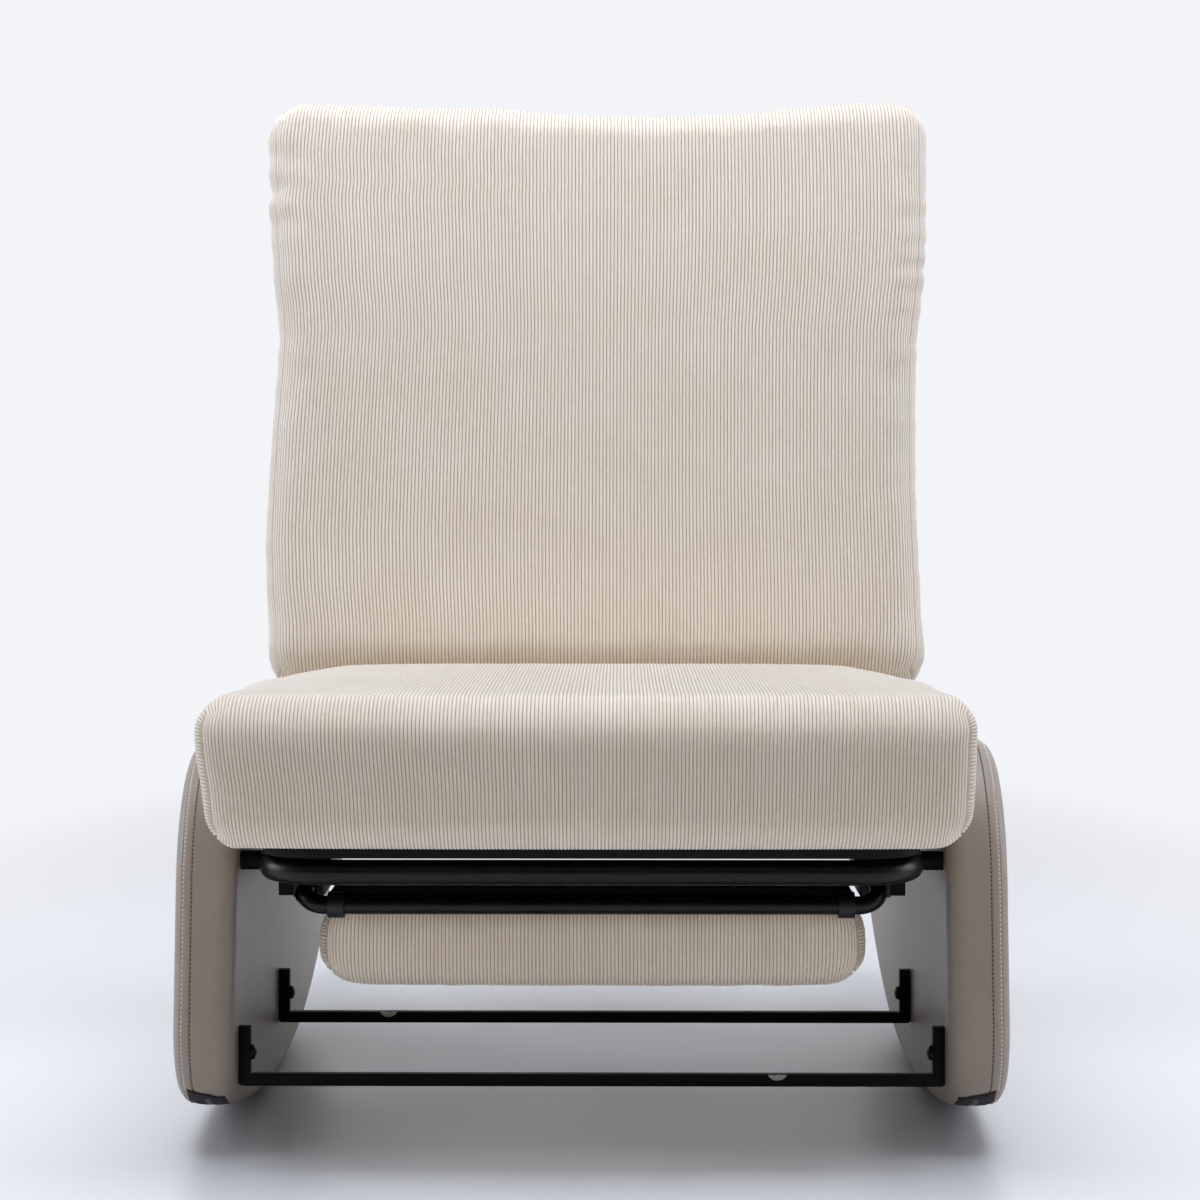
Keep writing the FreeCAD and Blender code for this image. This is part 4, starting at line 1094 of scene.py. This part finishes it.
def make_zip_teeth():
    """The coil's teeth, each a small rounded bar across the middle of the tape."""
    tooth = primitive("cube", (0.0056, 0.0013, 0.0012), size=1.0)
    edit(tooth)
    bpy.ops.mesh.bevel(offset=0.0003, segments=1, affect="EDGES")
    leave_edit()
    pitch = 0.0024
    spots = [(toe_run - 0.009 - number * pitch, panel_middle_x + (0.0007 if number % 2 else -0.0007), -0.0011)
             for number in range(2, int(tape_length / pitch) - 8)]
    return copies_along_rim("zip_teeth", tooth, spots, 40)


def make_panels():
    parts = (
        (make_panel_cover(), "panel_leather", leather, "panel_leather", "_panel_cover"),
        (make_zip_tape(), "zip_tape", zip_tape_cloth, "zip_tape", "_zip_strip"),
        (make_zip_teeth(), "zip_teeth", zip_coil, "zip_tape", None),
        (seam_stitches(pale_row_x, 0.0040, -0.0003), "pale_stitches", pale_thread, "panel_leather", None),
        (seam_stitches(brown_row_x, 0.0038, -0.0007), "brown_stitches", brown_thread, "panel_leather", None),
    )
    for name, matrix, flip in (("left", mirror_x, True), ("right", Matrix.Identity(4), False)):
        for piece, label, finish, slot, node in parts:
            twin = copied(piece, matrix, flip)
            twin.name = name + "_" + label
            twin.data.name = twin.name
            dress(twin, finish, "base", slot, *([name + node] if node else []))
    for piece, *_ in parts:
        bpy.data.objects.remove(piece)


# Bent tubes and bars

# Blender's spin turns the other way round its axis from a rotation by the same angle
spin_sign = -1.0


def bent_tube(name, start, direction, radius, moves, sides=32):
    """A ring drawn along runs, given by length, and spun round bends, given by axis, radius and angle."""
    direction = Vector(direction).normalized()
    turned = direction.to_track_quat("Z", "Y").to_euler()
    tube = primitive("circle", vertices=sides, radius=radius, location=start, rotation=turned)
    edit(tube)
    place = Vector(start)
    for move in moves:
        if isinstance(move, float):
            bpy.ops.mesh.extrude_region_move(TRANSFORM_OT_translate={"value": direction * move})
            place = place + direction * move
            continue
        axis, bend, angle = move
        axis = Vector(axis).normalized()
        centre = place + axis.cross(direction) * bend
        steps = max(3, round(math.degrees(angle) / 7))
        bpy.ops.mesh.spin(steps=steps, angle=spin_sign * angle, center=centre, axis=axis)
        turn = Quaternion(axis, angle)
        place = centre + turn @ (place - centre)
        direction = turn @ direction
    bpy.ops.mesh.select_all(action="SELECT")
    bpy.ops.mesh.fill_holes(sides=0)
    leave_edit()
    tube.name = name
    tube.data.name = name
    return settle(tube, 40)


def bevelled_block(name, low, high, offset=0.0008):
    """A block with all its edges softened."""
    low, high = Vector(low), Vector(high)
    piece = primitive("cube", high - low, size=1.0, location=(low + high) / 2)
    edit(piece)
    bpy.ops.mesh.bevel(offset=offset, segments=2, affect="EDGES")
    leave_edit()
    piece.name = name
    return settle(piece)


def make_hinge_blocks():
    """Blocks that turn on the crossbar: nose rounded round the bar, flat tongue under the board."""
    radius, half_width = 0.011, 0.007
    parts = []
    for side in (-1, 1):
        middle = Vector((side * turning_block_x, crossbar_y, 0.216))
        rings = [primitive("cylinder", vertices=48, radius=size, depth=2 * half_width, location=middle,
                           rotation=(0, quarter, 0), end_fill_type="NOTHING") for size in (radius, 0.0082)]
        for vertex in rings[0].data.vertices:
            back, up = vertex.co.y - middle.y, vertex.co.z - middle.z
            if back > 0:
                stretch = min(1.3, radius / max(abs(back), abs(up)))
                vertex.co.y = middle.y + back * stretch
                vertex.co.z = middle.z + up * stretch
        head = joined("hinge_head", rings)
        for end in (-1, 1):
            edit(head)
            select_in(head, "edges",
                      lambda edge: edge.is_boundary and end * (middle_of(edge).x - middle.x) > 0.006)
            bpy.ops.mesh.bridge_edge_loops()
            leave_edit()
        parts.append(head)
        parts.append(bevelled_block("hinge_tongue", (middle.x - half_width, -0.3921, 0.2120),
                                    (middle.x + half_width, -0.3580, 0.2180)))
    blocks = settle(joined("footrest_turning_blocks", parts))
    dress(blocks, nylon, "footrest_pad", "nylon", "footrest_hinge_blocks")


def u_tube(name, start, direction, axis, bend, leg, half_width):
    """A tube bent into a U from the end of its right leg."""
    turn = (axis, bend, quarter)
    return bent_tube(name, start, direction, tube_radius, [leg, turn, 2 * half_width - 2 * bend, turn, leg])


def make_seat_frame():
    tube = u_tube("seat_tube", (rail_x, 0.139, frame_z), (0, -1, 0), (0, 0, -1), bend=0.050, leg=0.534,
                  half_width=rail_x)
    cross = bevelled_block("seat_cross", (-rail_x, 0.0685, frame_z - cross_half),
                           (rail_x, 0.0935, frame_z + cross_half))
    dress(joined("seat_frame_tubes", [tube, cross]), tube_coat, "base", "black_tube", "seat_frame")


def make_footrest_frame():
    """Two legs that dip by 30 degrees near the front, and the crossbar between them."""
    dip, bend, leg_x, leg_end_y, leg_z, drop = math.radians(30), 0.020, 0.251, 0.062, 0.229, 0.013
    half_reach = bend * math.tan(dip / 2)
    leg = leg_end_y - (crossbar_y + drop / math.tan(dip)) - half_reach
    slope = max(0.0002, drop / math.sin(dip) - half_reach - bend)
    down = Vector((0, -math.cos(dip), -math.sin(dip)))
    to_left = Vector((-1, 0, 0))
    moves = [leg, ((1, 0, 0), bend, dip), slope, (down.cross(to_left), bend, quarter), 2 * (leg_x - bend),
             (to_left.cross(-down), bend, quarter), slope, ((1, 0, 0), bend, -dip), leg]
    tube = bent_tube("footrest_frame_tube", (leg_x, leg_end_y, leg_z), (0, -1, 0), footrest_tube_radius,
                     moves, 28)
    dress(tube, tube_coat, "footrest_slide", "black_tube", "footrest_frame")


def make_back_frame():
    tube = u_tube("back_tube", (back_leg_x, 0, -0.017), (0, 0, 1), (0, -1, 0), bend=0.060, leg=0.597,
                  half_width=back_leg_x)
    cross = bevelled_block("back_cross", (-back_leg_x, -cross_half, 0.1075), (back_leg_x, cross_half, 0.1325))
    piece = joined("back_frame_tubes", [tube, cross])
    piece.data.transform(back_lean)
    dress(piece, tube_coat, "back", "black_tube", "back_frame")


def make_stretcher(name, front_y):
    """Square bar with its ends turned up: a block whose end faces are drawn upwards."""
    half = inner_x - 0.0001
    bar = primitive("cube", (2 * half, bar_size, bar_size), size=1.0,
                    location=(0, front_y + bar_size / 2, bar_low_z + bar_size / 2))
    edit(bar)
    for side in (-1, 1):
        bpy.ops.mesh.select_all(action="SELECT")
        bpy.ops.mesh.bisect(plane_co=(side * (half - bar_size), 0, 0), plane_no=(1, 0, 0))
    select_in(bar, "faces", lambda face: face.normal.z > 0.9 and abs(middle_of(face).x) > half - bar_size)
    bpy.ops.mesh.extrude_region_move(TRANSFORM_OT_translate={"value": (0, 0, 0.0415)})
    select_in(bar, "edges", lambda edge: abs(abs(middle_of(edge).x) - half) < 0.0001
              and middle_of(edge).z < bar_low_z + 0.0005)
    bpy.ops.mesh.bevel(offset=0.003, segments=5, affect="EDGES")
    soften(bar, 0.0006, 2, 60)
    leave_edit()
    bar.name = name + "_bar"
    dress(settle(bar), bar_coat, "base", "stretcher_steel", name)


def make_button_head():
    """Button head with a hexagon socket, its face towards +Z and its seat at zero."""
    sides = 24
    head = primitive("cylinder", vertices=sides, radius=0.0068, depth=0.0010, location=(0, 0, 0.0005))
    edit(head)

    def top_corners():
        select_in(head, "faces", lambda face: face.normal.z > 0.99 and len(face.verts) == sides)
        shape = bmesh.from_edit_mesh(head.data)
        return shape, [corner for face in shape.faces if face.select for corner in face.verts]

    for radius, rise in ((0.0066, 0.0010), (0.0060, 0.0010), (0.0048, 0.0009), (0.0032, 0.0006)):
        shape, corners = top_corners()
        now = max(math.hypot(corner.co.x, corner.co.y) for corner in corners)
        bpy.ops.mesh.inset(thickness=max(0.00005, now - radius), depth=0.0)
        bpy.ops.transform.translate(value=(0, 0, rise))
    shape, corners = top_corners()
    for corner in corners:
        angle = math.atan2(corner.co.y, corner.co.x) % (math.pi / 3) - math.pi / 6
        share = 0.0025 / math.cos(angle) / math.hypot(corner.co.x, corner.co.y)
        corner.co.x *= share
        corner.co.y *= share
    bmesh.update_edit_mesh(head.data)
    bpy.ops.mesh.extrude_region_move(TRANSFORM_OT_translate={"value": (0, 0, -0.0026)})
    leave_edit()
    return settle(head)


def aim(place, direction):
    return Matrix.Translation(place) @ Vector(direction).to_track_quat("Z", "Y").to_matrix().to_4x4()


def make_fastenings():
    head = make_button_head()
    bolts = []
    rail_bolts = []
    spacers = []
    for side in (-1, 1):
        for y in (front_bar_y, rear_bar_y):
            place = (side * (inner_x - bar_size), y + bar_size / 2, 0.083)
            bolts.append(copied(head, aim(place, (-side, 0, 0))))
        for y in (front_bar_y + 0.020, front_bar_y + 0.400):
            place = (side * (rail_x - tube_radius + 0.0005), y, frame_z)
            rail_bolts.append(copied(head, aim(place, (-side, 0, 0))))
            spacer = primitive("cylinder", vertices=32, radius=0.0085, depth=0.0215,
                               location=(side * 0.29975, y, frame_z), rotation=(0, quarter, 0))
            edit(spacer)
            soften(spacer, 0.0008, 2, 60)
            leave_edit()
            spacers.append(spacer)
    for name, parts, finish, slot, node in (
            ("stretcher_bolt_heads", bolts, black_zinc, "bolt_steel", "stretcher_bolts"),
            ("rail_bolt_heads", rail_bolts, black_zinc, "bolt_steel", "seat_frame_bolts"),
            ("rail_spacers", spacers, bar_coat, "stretcher_steel", "seat_frame_spacers")):
        dress(settle(joined(name, parts)), finish, "base", slot, node)
    bpy.data.objects.remove(head)


def make_buffers():
    """Clear half-moon pads: discs cut flat along the bar's top edge, with softened rims."""
    radius, bar_top_z = 0.0095, bar_low_z + bar_size
    pads = []
    for x, y in ((0.163, front_bar_y), (-0.202, rear_bar_y)):
        pad = primitive("cylinder", vertices=40, radius=radius, depth=0.0019, rotation=(quarter, 0, 0),
                        location=(x, y - 0.00105, bar_top_z + radius - 0.0048))
        edit(pad)
        bpy.ops.mesh.bisect(plane_co=(0, 0, bar_top_z), plane_no=(0, 0, 1), clear_outer=True, use_fill=True)
        soften(pad, 0.0004, 2, 50)
        leave_edit()
        pads.append(pad)
    pads = settle(joined("clear_bumper_pads", pads))
    dress(pads, clear_vinyl, "base", "clear_plastic", "stretcher_buffers")


# Sling and lining

def make_sling():
    """Canvas stretched between the back's legs, with a sleeve sewn round each."""
    sleeve_radius = 0.0122
    path = [(0.0, -0.0124)]
    path += [(back_leg_x * share, -0.0124) for share in np.linspace(0.1, 1.0, 10)]
    for angle in np.radians(np.linspace(-90, 215, 26)[1:]):
        path.append((back_leg_x + sleeve_radius * math.cos(angle), sleeve_radius * math.sin(angle)))
    path += [(back_leg_x - 0.018, -0.0090), (back_leg_x - 0.024, -0.0108), (back_leg_x - 0.036, -0.0109)]
    half = np.array(path)
    whole = np.vstack([half[:0:-1] * (-1, 1), half])
    rows = np.linspace(0.146, 0.574, 55)
    points = [(x, y, z) for z in rows for x, y in whole]
    sling = mesh_piece("back_sling_canvas", points, grid_faces(np.arange(len(points)).reshape(len(rows), -1)))
    thicken(sling, 0.0012, 0)
    settle(sling, 60)
    sling.data.transform(back_lean)
    dress(sling, sling_canvas, "back", "sling_cloth", "back_sling")


def make_lining():
    """Black ribbed lining on the footrest's board: wales like the covers', with a rough cut edge."""
    width, length, ribs, rows = 0.429, 0.1364, 130, 14
    columns = ribs * 4 + 1
    random = np.random.default_rng(3)
    lumps = soft_waves(np.linspace(0, 1, columns), np.zeros(columns), 7, 0.0005)
    tufts = random.normal(0, 0.00022, (rows, columns))
    depth = np.linspace(0, 1, rows)
    xs = np.linspace(-width / 2, width / 2, columns)
    ends = np.clip((width / 2 - np.abs(xs)) / 0.007, 0, 1) ** 0.7
    ridge = 0.5 - 0.5 * np.cos(np.linspace(0, 2 * math.pi * ribs, columns))
    front = np.exp(-depth / 0.10)
    height = 0.0011 + 0.0011 * ridge[None, :] + front[:, None] * (0.0007 + np.abs(lumps))[None, :] + tufts
    top = lining_z + np.clip(height, 0.0006, 0.0042) * (0.25 + 0.75 * ends)[None, :]
    cut = np.where(depth == 0, 1.0, 0.0)[:, None] * random.uniform(0, 0.0008, (1, columns))
    ys = (depth * length - 0.3918)[:, None] + cut
    points = np.stack([np.broadcast_to(xs, top.shape), ys, top], axis=2).reshape(-1, 3)
    under = points.copy()
    under[:, 2] = lining_z
    ids = np.arange(rows * columns).reshape(rows, columns)
    low = ids + rows * columns
    rims = np.stack([border(ids), border(low)], axis=1)
    faces = grid_faces(ids) + grid_faces(low[::-1]) + grid_faces(np.vstack([rims, rims[:1]]))
    lining = settle(mesh_piece("footrest_ribbed_lining", np.vstack([points, under]), faces), 60)
    dress(lining, lining_cloth, "footrest_pad", "lining_cloth", "footrest_lining")


make_seat_frame()
make_footrest_frame()
make_back_frame()
make_stretcher("front_stretcher", front_bar_y)
make_stretcher("rear_stretcher", rear_bar_y)
make_fastenings()
make_buffers()
make_panels()
make_sling()
make_lining()
make_hinge_blocks()
make_seat_cushion()
make_back_cushion()
make_footrest_cushion()

# The frame's own nodes keep their shapes. Each finish has its nodes, and those in sight get softened edges.

for finish, in_sight, node_names in (
        (board_paint, True, ("footrest_board", "seat_board")),
        (stop_plastic, True, ("footrest_stops", "rail_end_plugs")),
        (nylon, True, ("guide_blocks",)),
        (bar_coat, True, ("guide_hangers", "hinge_back_arms", "hinge_seat_plates")),
        (black_zinc, True, ("hinge_pivots", "hinge_cap_nuts")),
        (rubber, True, ("seat_rest_pads",)),
        (bright_zinc, False, ("threaded_inserts",)),
        (birch_ply, False, ("left_panel_board", "right_panel_board")),
        (wadding, False, ("left_panel_foam", "right_panel_foam"))):
    for node_name in node_names:
        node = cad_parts[node_name]
        node.data.materials.clear()
        node.data.materials.append(finish)
        if in_sight:
            weld = node.modifiers.new("weld", "WELD")
            weld.merge_threshold = 0.00002
            bevel = node.modifiers.new("soften", "BEVEL")
            bevel.width = 0.0006
            bevel.segments = 2
            bevel.limit_method = "ANGLE"
            bevel.angle_limit = math.radians(40)


# Studio: pale floor that fades into a white backdrop, soft lights, and the camera

backdrop_colour = "#F3F4F8"


def make_floor():
    floor = primitive("circle", vertices=96, radius=40.0, fill_type="NGON")
    floor.name = "studio_floor"
    floor.location = (0, 0, -0.0002)
    nodes = Finish("pale_studio_floor")
    wear = nodes.add("TexNoise", {"Scale": 3.0, "Detail": 6.0})
    rough = nodes.add("MapRange", {"Value": wear, "To Min": 0.22, "To Max": 0.42})
    floor.data.materials.append(nodes.done("#EEEFF2", rough, gloss=0.35))
    # What the camera and the glosses see turns into the backdrop away from the chair
    narrow = nodes.add("Mapping", {"Vector": nodes.place, "Scale": (1.0, 0.35, 1.0)})
    away = nodes.add("VectorMath", {0: narrow}, "Value", operation="LENGTH")
    far = nodes.add("MapRange", {"Value": away, "From Min": 0.36, "From Max": 1.25})
    rays = nodes.add("LightPath").node.outputs
    seen = nodes.add("Math", {0: rays["Is Camera Ray"], 1: rays["Is Glossy Ray"]}, operation="MAXIMUM")
    seen = nodes.add("Math", {0: seen, 1: rays["Is Transmission Ray"]}, operation="MAXIMUM")
    share = nodes.add("Math", {0: far, 1: seen}, operation="MULTIPLY")
    glow = nodes.add("Emission", {"Color": backdrop_colour, "Strength": 1.0})
    mixed = nodes.add("MixShader", {0: share, 1: nodes.surface.outputs[0], 2: glow})
    nodes.give(nodes.tree.nodes["Material Output"], "Surface", mixed)


def make_world():
    """White backdrop behind the chair. What gloss shows in front is the unlit side of the studio."""
    world = bpy.data.worlds.new("studio")
    bpy.context.scene.world = world
    world.use_nodes = True
    world.node_tree.nodes.clear()
    nodes = Nodes(world.node_tree, "Generated")
    rays = nodes.add("LightPath").node.outputs
    depth = nodes.add("SeparateXYZ", {"Vector": nodes.place}, "Y")
    lighter = nodes.add("MapRange", {"Value": depth, "From Min": -0.2, "From Max": 0.9,
                                     "To Min": 0.12, "To Max": 0.60})
    glossier = nodes.add("MapRange", {"Value": depth, "From Min": -0.5, "From Max": 0.3,
                                      "To Min": 0.10, "To Max": 1.0})
    light = nodes.add("Background", {"Color": "#F5F8FE", "Strength": lighter})
    glossy = nodes.add("Background", {"Color": backdrop_colour, "Strength": glossier})
    plain = nodes.add("Background", {"Color": backdrop_colour, "Strength": 1.0})
    lit = nodes.add("MixShader", {0: rays["Is Glossy Ray"], 1: light, 2: glossy})
    seen = nodes.add("Math", {0: rays["Is Camera Ray"], 1: rays["Is Transmission Ray"]},
                     operation="MAXIMUM")
    nodes.add("OutputWorld", {"Surface": nodes.add("MixShader", {0: seen, 1: lit, 2: plain})})


def make_light(name, place, target, size, power, tint, in_gloss=True, spread=180.0):
    """Softbox at a place, turned to its target, with its size, power in watts and opening in degrees."""
    lamp = bpy.data.lights.new(name, "AREA")
    lamp.shape = "RECTANGLE"
    lamp.size, lamp.size_y = size
    lamp.energy = power
    lamp.color = colour(tint)[:3]
    holder = bpy.data.objects.new(name, lamp)
    holder.location = place
    holder.rotation_euler = (Vector(target) - Vector(place)).to_track_quat("-Z", "Y").to_euler()
    holder.visible_glossy = in_gloss
    lamp.spread = math.radians(spread)
    bpy.context.scene.collection.objects.link(holder)


make_floor()
make_world()
side_target = (0, -0.2, 0.4)
make_light("overhead_softbox", (0, -0.22, 2.4), side_target, (2.6, 1.1), 50.0, "#EEF4FF")
make_light("left_softbox", (-2.4, 0.0, 1.2), side_target, (1.4, 1.8), 21.0, "#EEF3FF")
make_light("right_softbox", (2.4, 0.0, 1.2), side_target, (1.4, 1.8), 18.5, "#EEF3FF")
make_light("front_reflector", (0, -3.6, 0.4), (0, 0, 0.3), (2.8, 0.7), 4.5, "#FFF1E0", in_gloss=False)
make_light("low_gridded_softbox", (0, -3.2, 0.20), (0, 0, 0.18), (2.2, 0.36), 0.42, "#FFF1E0", in_gloss=False,
           spread=16.0)

camera_data = bpy.data.cameras.new("camera")
camera_data.lens = 85.5
camera_data.sensor_width = 36.0
# The photograph keeps upright edges upright, with its horizon 113 of 1200 pixels above the middle
camera_data.shift_y = -0.0942
camera = bpy.data.objects.new("camera", camera_data)
camera.location = (0.025, -2.883, 0.580)
camera.rotation_euler = (math.radians(90), 0, math.radians(0.4))
bpy.context.scene.collection.objects.link(camera)
bpy.context.scene.camera = camera
bpy.context.scene.view_settings.view_transform = "Standard"
